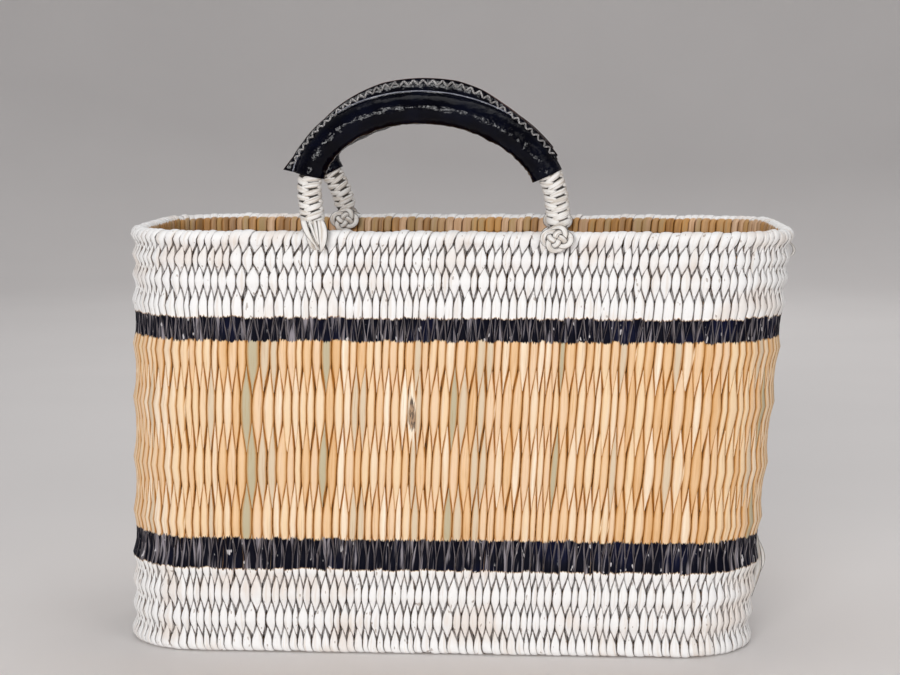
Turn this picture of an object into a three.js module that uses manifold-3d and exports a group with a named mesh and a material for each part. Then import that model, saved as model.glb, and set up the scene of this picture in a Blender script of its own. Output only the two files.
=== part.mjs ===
// Market tote basket: reeds woven over ring cords, painted bands, two rope handles with leather grips.
// Millimetres, +Z up. The origin is on the floor under the middle of the basket, and the front faces -Y.

import * as THREE from 'three';
import { mergeVertices } from 'three/addons/utils/BufferGeometryUtils.js';
import Module from 'manifold-3d';

const wasm = await Module();
wasm.setup();

// Body
const BODY_LENGTH = 428.6;
const BODY_HEIGHT = 270;
const RIM_DEPTH = 196;
const BASE_DEPTH = 176;
const RIM_CORNER_RADIUS = 58;
const BASE_CORNER_RADIUS = 50;
const LEFT_END_DRAW_IN = 4.6;
const RIGHT_END_SPREAD = 23;
const WALL_THICKNESS = 9.2;
const CORNER_STEPS = 4;
const LONG_SIDE_GROUPS = 3;
const END_GROUPS = 1;
const REED_GAP = 0.3;

// Ribs of the weave: full thickness over each course, drawn in where the reeds cross halfway to the next one
const WEAVE_DIP = 2.7;
const RIB_SHOULDER = 0.26;

// Ring cords and their courses
const CORD_RADIUS = 1.8;
const CORD_CLEARANCE = 0.3;
const CORD_SIDES = 5;
const FOOT_COURSE_HEIGHT = 5.5;
const WHITE_COURSE_PITCH = 16.4;
const LOWER_NAVY_COURSE_STEP = 17.6;
const FIRST_COURSE_BELOW_RIM = 18.5;
const SECOND_COURSE_STEP = 13;
const NATURAL_COURSES = 4;
const NATURAL_COURSE_CROWDING = 0.2;

// Rim: a round bead of folded reeds over its own cord
const RIM_SWELL = 1.4;
const RIM_RADIUS = WALL_THICKNESS / 2 + RIM_SWELL;
const RIM_SIDES = 8;
const RIM_SLOT_WIDTH = 1.6;
const RIM_SEAT_GAP = 0.3;

// Paint on the outside of the reeds
const PAINT_THICKNESS = 0.6;
const PAINT_GAP = 0.3;
const UPPER_NAVY_TOP_BELOW_RIM = 54.7;
const UPPER_NAVY_WIDTH = 14.5;
const LOWER_NAVY_BOTTOM = 55.2;
const LOWER_NAVY_WIDTH = 19.4;
const LOWER_PAINT_EDGE = 0.6;

// Base mat
const MAT_THICKNESS = 9;
const MAT_GAP = 0.3;
const MAT_GROUPS = ['left', 'middle', 'right'];
const BASE_CORDS = 5;
const BASE_CORD_END_MARGIN = 2;

// Handles
const HANDLE_OFFSET = -10.8;
const LEG_SPACING = 150;
const ARCH_SPRING = 20;
const ARCH_RISE = 54;
const FRONT_HANDLE_LEAN = -9;
const BACK_HANDLE_LEAN = -15;
const BACK_HANDLE_SPLAY = 14.5;
const SPLAY_SKEW = 1.6;
const CORE_RADIUS = 5;
const LAYER_GAP = 0.4;
const LEG_RADIUS = 8;
const GRIP_RADIUS = 9.7;
const LEATHER_THICKNESS = 1.2;
const GRIP_END_ANGLE = 14;
const GRIP_STEPS = 14;
const ROPE_SIDES = 8;
const FLAP_THICKNESS = 2.4;
const FLAP_HEIGHT = 9.4;
const FLAP_END_HEIGHT = 2.9;
const FLAP_CROWN_POWER = 6;
const THREAD_RADIUS = 0.55;
const THREAD_SIDES = 4;
const STITCH_COUNT = 36;
const STITCH_HEIGHT = 3.6;
const STITCH_SHARE = 0.4;
const STITCH_EDGE = 0.9;
const STITCH_MARGIN_ANGLE = 4;

// Loops that hang each handle on the rim, and the lashings tied over them
const LOOP_CLEARANCE = 0.4;
const LOOP_THICKNESS = 2.6;
const LOOP_WIDTH = 13;
const LOOP_SEGMENTS = 8;
const NOTCH_CLEARANCE = 0.5;
const LASHING_THICKNESS = 3;
const LASHING_SEAT_GAP = 0.3;
const OUTER_LASHING_TOP_ANGLE = 8;
const INNER_LASHING_TOP_ANGLE = 2;
const TONGUE_WIDTH = 14;
const KNOT_WIDTH = 19;

// Finishes
const NATURAL_REED = { color: 0xc9a06b, roughness: 0.75, metalness: 0 };
const INNER_CORD = { color: 0x8a6a43, roughness: 0.9, metalness: 0 };
const WHITE_PAINT = { color: 0xe9e4dc, roughness: 0.7, metalness: 0 };
const NAVY_PAINT = { color: 0x22262f, roughness: 0.65, metalness: 0 };
const WHITE_REED = { color: 0xe2dace, roughness: 0.75, metalness: 0 };
const PADDING_ROPE = { color: 0xa98b62, roughness: 0.9, metalness: 0 };
const NAVY_LEATHER = { color: 0x1b1f2a, roughness: 0.35, metalness: 0 };
const WHITE_THREAD = { color: 0xdcd9d2, roughness: 0.8, metalness: 0 };

const basket = new THREE.Group();

// One named piece of the basket.
function addPiece(name, geometry, finish) {
  geometry.computeVertexNormals();
  const piece = new THREE.Mesh(geometry, new THREE.MeshStandardMaterial(finish));
  piece.name = name;
  basket.add(piece);
}

// Closed surface from points and triangles, turned so that its faces point out.
function closedSurface(positions, index) {
  let volume = 0;
  const corner = (i) => new THREE.Vector3().fromArray(positions, 3 * i);
  for (let i = 0; i < index.length; i += 3) {
    volume += corner(index[i]).dot(corner(index[i + 1]).cross(corner(index[i + 2])));
  }
  const turned = volume < 0 ? index.slice().reverse() : index;
  const geometry = new THREE.BufferGeometry();
  geometry.setAttribute('position', new THREE.Float32BufferAttribute(positions, 3));
  geometry.setIndex(turned);
  return geometry;
}

// Section carried through stations. Each station turns a point of the section into a point in space.
// The outline runs anticlockwise and the holes clockwise. A closed sweep joins its last station to its first.
function sweep(stations, outline, holes = [], closed = false) {
  const rings = [outline, ...holes];
  const section = rings.flat();
  const count = section.length;
  const positions = stations.flatMap((place) => section.flatMap(([u, v]) => place(u, v).toArray()));
  const index = [];
  const spans = closed ? stations.length : stations.length - 1;
  for (let s = 0; s < spans; s += 1) {
    const near = s * count;
    const far = ((s + 1) % stations.length) * count;
    let start = 0;
    for (const ring of rings) {
      for (let k = 0; k < ring.length; k += 1) {
        const a = start + k;
        const b = start + ((k + 1) % ring.length);
        index.push(near + a, near + b, far + b);
        index.push(near + a, far + b, far + a);
      }
      start += ring.length;
    }
  }
  if (!closed) {
    const flat = (ring) => ring.map(([u, v]) => new THREE.Vector2(u, v));
    const end = (stations.length - 1) * count;
    for (const [a, b, c] of THREE.ShapeUtils.triangulateShape(flat(outline), holes.map(flat))) {
      index.push(a, c, b);
      index.push(end + a, end + b, end + c);
    }
  }
  return closedSurface(positions, index);
}

// Regular polygon round a point, anticlockwise.
function circle(radius, sides, u = 0, v = 0) {
  return Array.from({ length: sides }, (_, k) => {
    const turn = (2 * Math.PI * k) / sides;
    return [u + radius * Math.cos(turn), v + radius * Math.sin(turn)];
  });
}

// Rectangle between two corners, anticlockwise.
function rectangle(u0, v0, u1, v1) {
  return [[u0, v0], [u1, v0], [u1, v1], [u0, v1]];
}

// Block between two corners.
function block(low, high) {
  const size = high.clone().sub(low);
  const middle = low.clone().add(high).multiplyScalar(0.5);
  return new THREE.BoxGeometry(size.x, size.y, size.z).translate(middle.x, middle.y, middle.z);
}

// Solid for joining and cutting.
function toSolid(geometry) {
  const bare = geometry.clone();
  bare.deleteAttribute('normal');
  bare.deleteAttribute('uv');
  const merged = mergeVertices(bare);
  return new wasm.Manifold(new wasm.Mesh({
    numProp: 3,
    vertProperties: Float32Array.from(merged.attributes.position.array),
    triVerts: Uint32Array.from(merged.index.array),
  }));
}

function fromSolid(solid) {
  const mesh = solid.getMesh();
  const geometry = new THREE.BufferGeometry();
  geometry.setAttribute('position', new THREE.Float32BufferAttribute(mesh.vertProperties, 3));
  geometry.setIndex(Array.from(mesh.triVerts));
  return geometry;
}

function cutAway(geometry, tools) {
  return fromSolid(tools.reduce((solid, tool) => solid.subtract(toSolid(tool)), toSolid(geometry)));
}

function fuse(geometries) {
  return fromSolid(geometries.map(toSolid).reduce((whole, next) => whole.add(next)));
}

// Outer outline of the wall at a height: reach of each end, half depth and corner radius.
function outlineAt(z) {
  const share = z / BODY_HEIGHT;
  const half = BODY_LENGTH / 2;
  return {
    left: half - LEFT_END_DRAW_IN * share,
    right: half - RIGHT_END_SPREAD * (1 - share),
    depth: THREE.MathUtils.lerp(BASE_DEPTH, RIM_DEPTH, share) / 2,
    radius: THREE.MathUtils.lerp(BASE_CORNER_RADIUS, RIM_CORNER_RADIUS, share),
  };
}

// The four straight stretches of the wall, anticlockwise seen from above.
// Each gives a point at a share of its length, moved along by a shift, at an inset from the outer face.
const STRAIGHTS = {
  front(o, share, shift, inset) {
    const x = THREE.MathUtils.lerp(-(o.left - o.radius), o.right - o.radius, share);
    return [x + shift, -(o.depth - inset)];
  },
  right(o, share, shift, inset) {
    return [o.right - inset, THREE.MathUtils.lerp(-1, 1, share) * (o.depth - o.radius) + shift];
  },
  back(o, share, shift, inset) {
    const x = THREE.MathUtils.lerp(o.right - o.radius, -(o.left - o.radius), share);
    return [x - shift, o.depth - inset];
  },
  left(o, share, shift, inset) {
    return [-(o.left - inset), THREE.MathUtils.lerp(1, -1, share) * (o.depth - o.radius) - shift];
  },
};

// The four round corners, each with the quarter turn it starts at.
const CORNERS = { front_right: -1, back_right: 0, back_left: 1, front_left: 2 };

function straightStation(side, share, shift) {
  return (inset, z) => {
    const [x, y] = STRAIGHTS[side](outlineAt(z), share, shift, inset);
    return new THREE.Vector3(x, y, z);
  };
}

function cornerStation(corner, share, shift) {
  return (inset, z) => {
    const o = outlineAt(z);
    const turn = (CORNERS[corner] + share) * (Math.PI / 2) + shift / o.radius;
    const towardsRight = corner.endsWith('right');
    const towardsBack = corner.startsWith('back');
    const x = towardsRight ? o.right - o.radius : -(o.left - o.radius);
    const y = towardsBack ? o.depth - o.radius : -(o.depth - o.radius);
    const reach = o.radius - inset;
    return new THREE.Vector3(x + reach * Math.cos(turn), y + reach * Math.sin(turn), z);
  };
}

// Stations of a corner from end to end, drawn in by a shift at each end.
function cornerStations(corner, shift) {
  return Array.from({ length: CORNER_STEPS + 1 }, (_, k) => {
    const share = k / CORNER_STEPS;
    return cornerStation(corner, share, shift * (1 - 2 * share));
  });
}

// Stations once round the wall.
const ROUND_THE_WALL = Object.keys(CORNERS).flatMap((corner) => cornerStations(corner, 0));

// Heights of the courses where the reeds cross a ring cord, from the foot up.
function courseHeights() {
  const lower = [FOOT_COURSE_HEIGHT];
  lower.push(lower.at(-1) + WHITE_COURSE_PITCH);
  lower.push(lower.at(-1) + WHITE_COURSE_PITCH);
  lower.push(lower.at(-1) + LOWER_NAVY_COURSE_STEP);
  const first = BODY_HEIGHT - FIRST_COURSE_BELOW_RIM;
  const second = first - SECOND_COURSE_STEP;
  const third = second - WHITE_COURSE_PITCH;
  const natural = Array.from({ length: NATURAL_COURSES }, (_, k) => {
    const share = (k + 1) / (NATURAL_COURSES + 1);
    const crowded = share - (NATURAL_COURSE_CROWDING * Math.sin(2 * Math.PI * share)) / (2 * Math.PI);
    return THREE.MathUtils.lerp(lower.at(-1), third, crowded);
  });
  return [...lower, ...natural, third, second, first];
}

const COURSES = courseHeights();

// Breaks of the weave's profile, from the foot course to the top one.
const WEAVE_BREAKS = COURSES.slice(1).flatMap((above, k) => {
  const below = COURSES[k];
  const at = (share) => THREE.MathUtils.lerp(below, above, share);
  return [
    { z: at(RIB_SHOULDER), dip: 0 },
    { z: at(1 / 2), dip: WEAVE_DIP },
    { z: at(1 - RIB_SHOULDER), dip: 0 },
  ];
});

// How far the wall's face is drawn in at a height.
function dipAt(z) {
  const above = WEAVE_BREAKS.findIndex((point) => point.z > z);
  if (above <= 0) {
    return 0;
  }
  const low = WEAVE_BREAKS[above - 1];
  const high = WEAVE_BREAKS[above];
  return THREE.MathUtils.lerp(low.dip, high.dip, (z - low.z) / (high.z - low.z));
}

// Section of a layer of the wall between two heights, anticlockwise.
// Insets are from the ribs' outer face, and each face follows the weave by its own sign.
function ribbedSection(outerInset, outerSign, innerInset, innerSign, low, high) {
  const breaks = WEAVE_BREAKS.filter((point) => point.z > low && point.z < high);
  const heights = [low, ...breaks.map((point) => point.z), high];
  const inner = heights.map((z) => [innerInset + innerSign * dipAt(z), z]);
  const outer = heights.map((z) => [outerInset + outerSign * dipAt(z), z]);
  return [...inner, ...outer.reverse()];
}

const WALL_MIDDLE = WALL_THICKNESS / 2;
const RIM_AXIS_HEIGHT = BODY_HEIGHT - RIM_RADIUS;
const WALL_TOP = BODY_HEIGHT - 2 * RIM_RADIUS - RIM_SEAT_GAP;
const TUNNEL_HALF = CORD_RADIUS + CORD_CLEARANCE;

// Handle legs stand over the rim, and their loops pass through notches in the wall under it.
const HANDLE_PLANE = outlineAt(RIM_AXIS_HEIGHT).depth - WALL_MIDDLE;
const LEG_PLACES = { left: HANDLE_OFFSET - LEG_SPACING / 2, right: HANDLE_OFFSET + LEG_SPACING / 2 };
const LOOP_BORE = RIM_RADIUS + LOOP_CLEARANCE;
const LOOP_RADIUS = LOOP_BORE + LOOP_THICKNESS;

function loopNotches() {
  const floor = RIM_AXIS_HEIGHT - LOOP_RADIUS - NOTCH_CLEARANCE;
  const halfWidth = LOOP_WIDTH / 2 + NOTCH_CLEARANCE;
  return Object.values(LEG_PLACES).map((x) => block(
    new THREE.Vector3(x - halfWidth, -RIM_DEPTH, floor),
    new THREE.Vector3(x + halfWidth, RIM_DEPTH, BODY_HEIGHT),
  ));
}

const NOTCHES = loopNotches();

// Reed groups: each stands from the floor to the rim, with a tunnel for every ring cord.
function addReeds() {
  const outline = ribbedSection(0, 1, WALL_THICKNESS, -1, 0, WALL_TOP);
  const tunnels = COURSES.map((z) => rectangle(
    WALL_MIDDLE - TUNNEL_HALF, z - TUNNEL_HALF, WALL_MIDDLE + TUNNEL_HALF, z + TUNNEL_HALF,
  ).reverse());
  for (const side of Object.keys(STRAIGHTS)) {
    const long = side === 'front' || side === 'back';
    const groups = long ? LONG_SIDE_GROUPS : END_GROUPS;
    for (let k = 0; k < groups; k += 1) {
      const ends = [
        straightStation(side, k / groups, REED_GAP / 2),
        straightStation(side, (k + 1) / groups, -REED_GAP / 2),
      ];
      const plain = sweep(ends, outline, tunnels);
      const name = groups > 1 ? `${side}_reeds_${k + 1}` : `${side}_reeds`;
      addPiece(name, long ? cutAway(plain, NOTCHES) : plain, NATURAL_REED);
    }
  }
  for (const corner of Object.keys(CORNERS)) {
    const stations = cornerStations(corner, REED_GAP / 2);
    addPiece(`${corner}_corner_reeds`, sweep(stations, outline, tunnels), NATURAL_REED);
  }
}

// Ring cords, one in each course, and the cord inside the rim.
function addRingCords() {
  COURSES.forEach((z, k) => {
    const section = circle(CORD_RADIUS, CORD_SIDES, WALL_MIDDLE, z);
    const number = String(k + 1).padStart(2, '0');
    addPiece(`course_cord_${number}`, sweep(ROUND_THE_WALL, section, [], true), INNER_CORD);
  });
  const section = circle(CORD_RADIUS, CORD_SIDES, WALL_MIDDLE, RIM_AXIS_HEIGHT);
  addPiece('rim_cord', sweep(ROUND_THE_WALL, section, [], true), INNER_CORD);
}

// Rim bead: the reed ends folded over the rim cord, open along a slot underneath.
function addRim() {
  const arc = (radius, fromDown) => {
    const half = Math.asin(RIM_SLOT_WIDTH / 2 / radius);
    const start = -Math.PI / 2 + half;
    const sweepAngle = 2 * (Math.PI - half);
    return Array.from({ length: RIM_SIDES + 1 }, (_, k) => {
      const share = fromDown ? k / RIM_SIDES : 1 - k / RIM_SIDES;
      const turn = start + sweepAngle * share;
      return [WALL_MIDDLE + radius * Math.cos(turn), RIM_AXIS_HEIGHT + radius * Math.sin(turn)];
    });
  };
  const section = [...arc(RIM_RADIUS, true), ...arc(TUNNEL_HALF, false)];
  addPiece('rim_binding', sweep(ROUND_THE_WALL, section, [], true), WHITE_REED);
}

// Painted bands: thin coats round the outside of the reeds, over their ribs.
function addPaint() {
  const coat = (low, high) => {
    const section = ribbedSection(-(PAINT_GAP + PAINT_THICKNESS), 1, -PAINT_GAP, 1, low, high);
    return sweep(ROUND_THE_WALL, section, [], true);
  };
  const upperNavyTop = BODY_HEIGHT - UPPER_NAVY_TOP_BELOW_RIM;
  const upperNavyBottom = upperNavyTop - UPPER_NAVY_WIDTH;
  const lowerNavyTop = LOWER_NAVY_BOTTOM + LOWER_NAVY_WIDTH;
  addPiece('upper_white_paint', cutAway(coat(upperNavyTop + PAINT_GAP, WALL_TOP), NOTCHES), WHITE_PAINT);
  addPiece('upper_navy_paint', coat(upperNavyBottom, upperNavyTop), NAVY_PAINT);
  addPiece('lower_navy_paint', coat(LOWER_NAVY_BOTTOM, lowerNavyTop), NAVY_PAINT);
  addPiece('lower_white_paint', coat(LOWER_PAINT_EDGE, LOWER_NAVY_BOTTOM - PAINT_GAP), WHITE_PAINT);
}

// Plate inside the foot of the wall, at an inset from the outer face.
function matPlate(inset) {
  const ring = (z) => ROUND_THE_WALL.map((place) => place(inset, z));
  const rings = [...ring(0), ...ring(MAT_THICKNESS)];
  const count = ROUND_THE_WALL.length;
  const index = [];
  for (let k = 0; k < count; k += 1) {
    const next = (k + 1) % count;
    index.push(k, next, count + next);
    index.push(k, count + next, count + k);
  }
  for (let k = 1; k < count - 1; k += 1) {
    index.push(0, k + 1, k);
    index.push(count, count + k, count + k + 1);
  }
  return closedSurface(rings.flatMap((p) => p.toArray()), index);
}

// Base mat: groups of reeds from front to back, threaded on straight base cords.
function addBase() {
  const plate = toSolid(matPlate(WALL_THICKNESS + MAT_GAP));
  const cordField = toSolid(matPlate(WALL_THICKNESS + MAT_GAP + BASE_CORD_END_MARGIN));
  const cordPitch = (BASE_DEPTH - 2 * WALL_THICKNESS) / (BASE_CORDS + 1);
  const cordHeight = MAT_THICKNESS / 2;
  const tunnels = [];
  for (let k = 0; k < BASE_CORDS; k += 1) {
    const y = (k - (BASE_CORDS - 1) / 2) * cordPitch;
    tunnels.push(toSolid(block(
      new THREE.Vector3(-BODY_LENGTH, y - TUNNEL_HALF, cordHeight - TUNNEL_HALF),
      new THREE.Vector3(BODY_LENGTH, y + TUNNEL_HALF, cordHeight + TUNNEL_HALF),
    )));
    const along = (x) => (u, v) => new THREE.Vector3(x, y + u, cordHeight + v);
    const rod = sweep([along(-BODY_LENGTH), along(BODY_LENGTH)], circle(CORD_RADIUS, CORD_SIDES));
    addPiece(`base_cord_${k + 1}`, fromSolid(toSolid(rod).intersect(cordField)), INNER_CORD);
  }
  const floor = outlineAt(0);
  const groupLength = (floor.left + floor.right) / MAT_GROUPS.length;
  MAT_GROUPS.forEach((name, k) => {
    const from = -floor.left + k * groupLength;
    const slab = toSolid(block(
      new THREE.Vector3(from + REED_GAP / 2, -BASE_DEPTH, -MAT_THICKNESS),
      new THREE.Vector3(from + groupLength - REED_GAP / 2, BASE_DEPTH, 2 * MAT_THICKNESS),
    ));
    const reeds = tunnels.reduce((solid, tunnel) => solid.subtract(tunnel), plate.intersect(slab));
    addPiece(`base_reeds_${name}`, fromSolid(reeds), NATURAL_REED);
  });
}

const HANDLE_HEIGHT = ARCH_SPRING + ARCH_RISE;

// The two handles: the way their outer face looks, their lean sideways and the splay of their left side.
const HANDLES = {
  front: { face: 1, y: -HANDLE_PLANE, lean: FRONT_HANDLE_LEAN, splay: 0 },
  back: { face: -1, y: HANDLE_PLANE, lean: BACK_HANDLE_LEAN, splay: BACK_HANDLE_SPLAY },
};

// Point on a handle's centre line. Height is above the rim. The whole arch leans sideways as it rises,
// and the left side swings out between the rim and the crown, most of all at its shoulder.
function handlePoint(x, height, handle) {
  const slant = (handle.lean * height) / HANDLE_HEIGHT;
  const leftShare = Math.max(0, -x) / (LEG_SPACING / 2);
  const climb = Math.max(0, height / HANDLE_HEIGHT) ** SPLAY_SKEW;
  const swing = handle.splay * leftShare * Math.sin(Math.PI * climb) ** 2;
  return new THREE.Vector3(HANDLE_OFFSET + x + slant - swing, handle.y, BODY_HEIGHT + height);
}

// Small step for finding the direction of a centre line.
const NUDGE = 1e-4;

// Station of a handle: u runs towards the front, v towards the inside of the arch.
function handleStation(point, along) {
  const front = new THREE.Vector3(0, -1, 0);
  const inwards = along.clone().normalize().cross(front);
  return (u, v) => point.clone().addScaledVector(front, u).addScaledVector(inwards, v);
}

// Station on a leg, at a height above the rim. The side is -1 for the left leg and 1 for the right.
function legStation(side, height, handle) {
  const x = (side * LEG_SPACING) / 2;
  const above = handlePoint(x, height + NUDGE, handle);
  const below = handlePoint(x, height - NUDGE, handle);
  return handleStation(handlePoint(x, height, handle), above.sub(below).multiplyScalar(-side));
}

// Station on the arch, at an angle from the left spring.
function archStation(degrees, handle) {
  const turn = THREE.MathUtils.degToRad(degrees);
  const at = (a) => {
    const x = (-LEG_SPACING / 2) * Math.cos(a);
    return handlePoint(x, ARCH_SPRING + ARCH_RISE * Math.sin(a), handle);
  };
  return handleStation(at(turn), at(turn + NUDGE).sub(at(turn - NUDGE)));
}

const GRIP_ANGLES = Array.from({ length: GRIP_STEPS + 1 }, (_, k) => (
  THREE.MathUtils.lerp(GRIP_END_ANGLE, 180 - GRIP_END_ANGLE, k / GRIP_STEPS)
));
const WRAP_TOP_ANGLE = GRIP_END_ANGLE - THREE.MathUtils.radToDeg(LAYER_GAP / ARCH_RISE);
const LOOP_TOP = LOOP_RADIUS - RIM_RADIUS;
const CORE_FOOT = LOOP_TOP - LOOP_THICKNESS / 2;

// Height of a leg wrap's foot: a leaning leg's square end stays clear of the loop below it.
function wrapFoot(handle) {
  const level = LOOP_TOP + LAYER_GAP;
  const foot = handlePoint(-LEG_SPACING / 2, level, handle);
  const above = handlePoint(-LEG_SPACING / 2, level + LEG_RADIUS, handle);
  return level + Math.abs(above.x - foot.x);
}

// Ring that holds a leg to the rim, free to turn on it.
function handleLoop(x, y) {
  const ring = new THREE.Shape();
  ring.absarc(0, 0, LOOP_RADIUS, 0, 2 * Math.PI, false);
  const bore = new THREE.Path();
  bore.absarc(0, 0, LOOP_BORE, 0, 2 * Math.PI, true);
  ring.holes.push(bore);
  const band = { depth: LOOP_WIDTH, bevelEnabled: false, curveSegments: LOOP_SEGMENTS };
  return new THREE.ExtrudeGeometry(ring, band)
    .translate(0, 0, -LOOP_WIDTH / 2)
    .rotateY(Math.PI / 2)
    .translate(x, y, RIM_AXIS_HEIGHT);
}

// Rope core: up one leg, over the arch and down the other leg, with a loop at each end.
function handleCore(handle) {
  const legHeights = [CORE_FOOT, wrapFoot(handle), ARCH_SPRING];
  const leftLeg = legHeights.map((height) => legStation(-1, height, handle));
  const rightLeg = legHeights.map((height) => legStation(1, height, handle)).reverse();
  const arch = [WRAP_TOP_ANGLE, ...GRIP_ANGLES, 180 - WRAP_TOP_ANGLE].map((a) => archStation(a, handle));
  const rope = sweep([...leftLeg, ...arch, ...rightLeg], circle(CORE_RADIUS, ROPE_SIDES));
  return fuse([rope, ...Object.values(LEG_PLACES).map((x) => handleLoop(x, handle.y))]);
}

// Hollow round layer over the rope.
function layer(stations, innerRadius, outerRadius) {
  return sweep(stations, circle(outerRadius, ROPE_SIDES), [circle(innerRadius, ROPE_SIDES).reverse()]);
}

// Height of the flap over the sleeve: highest at the crown of the arch.
function flapHeight(degrees) {
  const crown = Math.sin(THREE.MathUtils.degToRad(degrees)) ** FLAP_CROWN_POWER;
  return THREE.MathUtils.lerp(FLAP_END_HEIGHT, FLAP_HEIGHT, crown);
}

// Leather sleeve: a tube drawn together along its outer edge into a flat flap.
function gripLeather(handle) {
  const half = FLAP_THICKNESS / 2;
  const opening = Math.asin(half / GRIP_RADIUS);
  const tube = Array.from({ length: ROPE_SIDES + 1 }, (_, k) => {
    const turn = -Math.PI / 2 + opening + ((2 * Math.PI - 2 * opening) * k) / ROPE_SIDES;
    return [GRIP_RADIUS * Math.cos(turn), GRIP_RADIUS * Math.sin(turn)];
  });
  const edge = -(GRIP_RADIUS + FLAP_HEIGHT);
  const outline = [[-half, edge], [half, edge], ...tube];
  const stations = GRIP_ANGLES.map((degrees) => {
    const place = archStation(degrees, handle);
    const low = FLAP_HEIGHT - flapHeight(degrees);
    return (u, v) => place(u, v === edge ? v + low : v);
  });
  return sweep(stations, outline, [circle(GRIP_RADIUS - LEATHER_THICKNESS, ROPE_SIDES).reverse()]);
}

// Zigzag thread on the outer face of the flap.
function gripThread(handle) {
  const proud = handle.face * (FLAP_THICKNESS / 2 + LAYER_GAP + THREAD_RADIUS);
  const from = GRIP_END_ANGLE + STITCH_MARGIN_ANGLE;
  const slope = Math.atan2(STITCH_HEIGHT, (LEG_SPACING / 2) * (Math.PI / (2 * STITCH_COUNT)));
  const stations = Array.from({ length: 2 * STITCH_COUNT + 1 }, (_, k) => {
    const degrees = THREE.MathUtils.lerp(from, 180 - from, k / (2 * STITCH_COUNT));
    const place = archStation(degrees, handle);
    const edge = GRIP_RADIUS + flapHeight(degrees) - STITCH_EDGE;
    const zigzag = Math.min(STITCH_HEIGHT, STITCH_SHARE * flapHeight(degrees));
    const depth = edge - (k % 2) * zigzag;
    return (u, v) => place(proud + u, -depth + v / Math.cos(slope));
  });
  return sweep(stations, circle(THREAD_RADIUS, THREAD_SIDES));
}

function addHandle(name, handle) {
  const wrapBore = CORE_RADIUS + LAYER_GAP;
  const gripStations = GRIP_ANGLES.map((a) => archStation(a, handle));
  const legHeights = [wrapFoot(handle), ARCH_SPRING];
  const leftLeg = legHeights.map((height) => legStation(-1, height, handle));
  leftLeg.push(archStation(WRAP_TOP_ANGLE, handle));
  const rightLeg = legHeights.map((height) => legStation(1, height, handle)).reverse();
  rightLeg.unshift(archStation(180 - WRAP_TOP_ANGLE, handle));
  const paddingRadius = GRIP_RADIUS - LEATHER_THICKNESS - LAYER_GAP;
  addPiece(`${name}_handle_core`, handleCore(handle), PADDING_ROPE);
  addPiece(`${name}_left_leg_wrap`, layer(leftLeg, wrapBore, LEG_RADIUS), WHITE_REED);
  addPiece(`${name}_right_leg_wrap`, layer(rightLeg, wrapBore, LEG_RADIUS), WHITE_REED);
  addPiece(`${name}_grip_padding`, layer(gripStations, wrapBore, paddingRadius), PADDING_ROPE);
  addPiece(`${name}_grip_leather`, gripLeather(handle), NAVY_LEATHER);
  addPiece(`${name}_grip_thread`, gripThread(handle), WHITE_THREAD);
}

// Lashing: a curved pad tied over a loop and seated on the wall below the rim.
// Outwards is the direction away from the wall, as a sign of Y.
function lashing(x, y, outwards, wallReach, topAngle, width) {
  const bore = LOOP_RADIUS + LAYER_GAP;
  const top = THREE.MathUtils.degToRad(topAngle);
  const bottom = -Math.acos((wallReach + LASHING_SEAT_GAP) / bore);
  const pad = new THREE.Shape();
  pad.absarc(0, 0, bore + LASHING_THICKNESS, bottom, top, false);
  pad.absarc(0, 0, bore, top, bottom, true);
  const segments = LOOP_SEGMENTS / 4;
  const away = new THREE.Vector3(0, outwards, 0);
  const up = new THREE.Vector3(0, 0, 1);
  const frame = new THREE.Matrix4().makeBasis(away, up, away.clone().cross(up));
  return new THREE.ExtrudeGeometry(pad, { depth: width, bevelEnabled: false, curveSegments: segments })
    .translate(0, 0, -width / 2)
    .applyMatrix4(frame)
    .translate(x, y, RIM_AXIS_HEIGHT);
}

// Outer and inner lashing of every leg. The front left one ends in a narrow tongue.
function addLashings(name, { face, y }) {
  const wallLean = (RIM_DEPTH - BASE_DEPTH) / 2 / BODY_HEIGHT;
  const outerReach = WALL_MIDDLE + PAINT_GAP + PAINT_THICKNESS;
  const innerReach = WALL_MIDDLE + wallLean * 2 * LOOP_RADIUS;
  for (const [side, x] of Object.entries(LEG_PLACES)) {
    const outerWidth = name === 'front' && side === 'left' ? TONGUE_WIDTH : KNOT_WIDTH;
    const outer = lashing(x, y, -face, outerReach, OUTER_LASHING_TOP_ANGLE, outerWidth);
    const inner = lashing(x, y, face, innerReach, INNER_LASHING_TOP_ANGLE, KNOT_WIDTH);
    addPiece(`${name}_${side}_outer_lashing`, outer, WHITE_REED);
    addPiece(`${name}_${side}_inner_lashing`, inner, WHITE_REED);
  }
}

addReeds();
addRingCords();
addRim();
addPaint();
addBase();
for (const [name, handle] of Object.entries(HANDLES)) {
  addHandle(name, handle);
  addLashings(name, handle);
}

export default basket;
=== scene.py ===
"""Market tote basket, dressed: reeds woven over ring cords, painted bands and leather-gripped rope handles.

Metres, +Z up. The basket stands on the floor at z = 0 and its front faces -Y.
"""

import logging
import math
from dataclasses import dataclass, field
from enum import Enum
from typing import Optional, Sequence, Union

import bpy
import numpy as np
from mathutils import Matrix, Vector, noise

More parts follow.
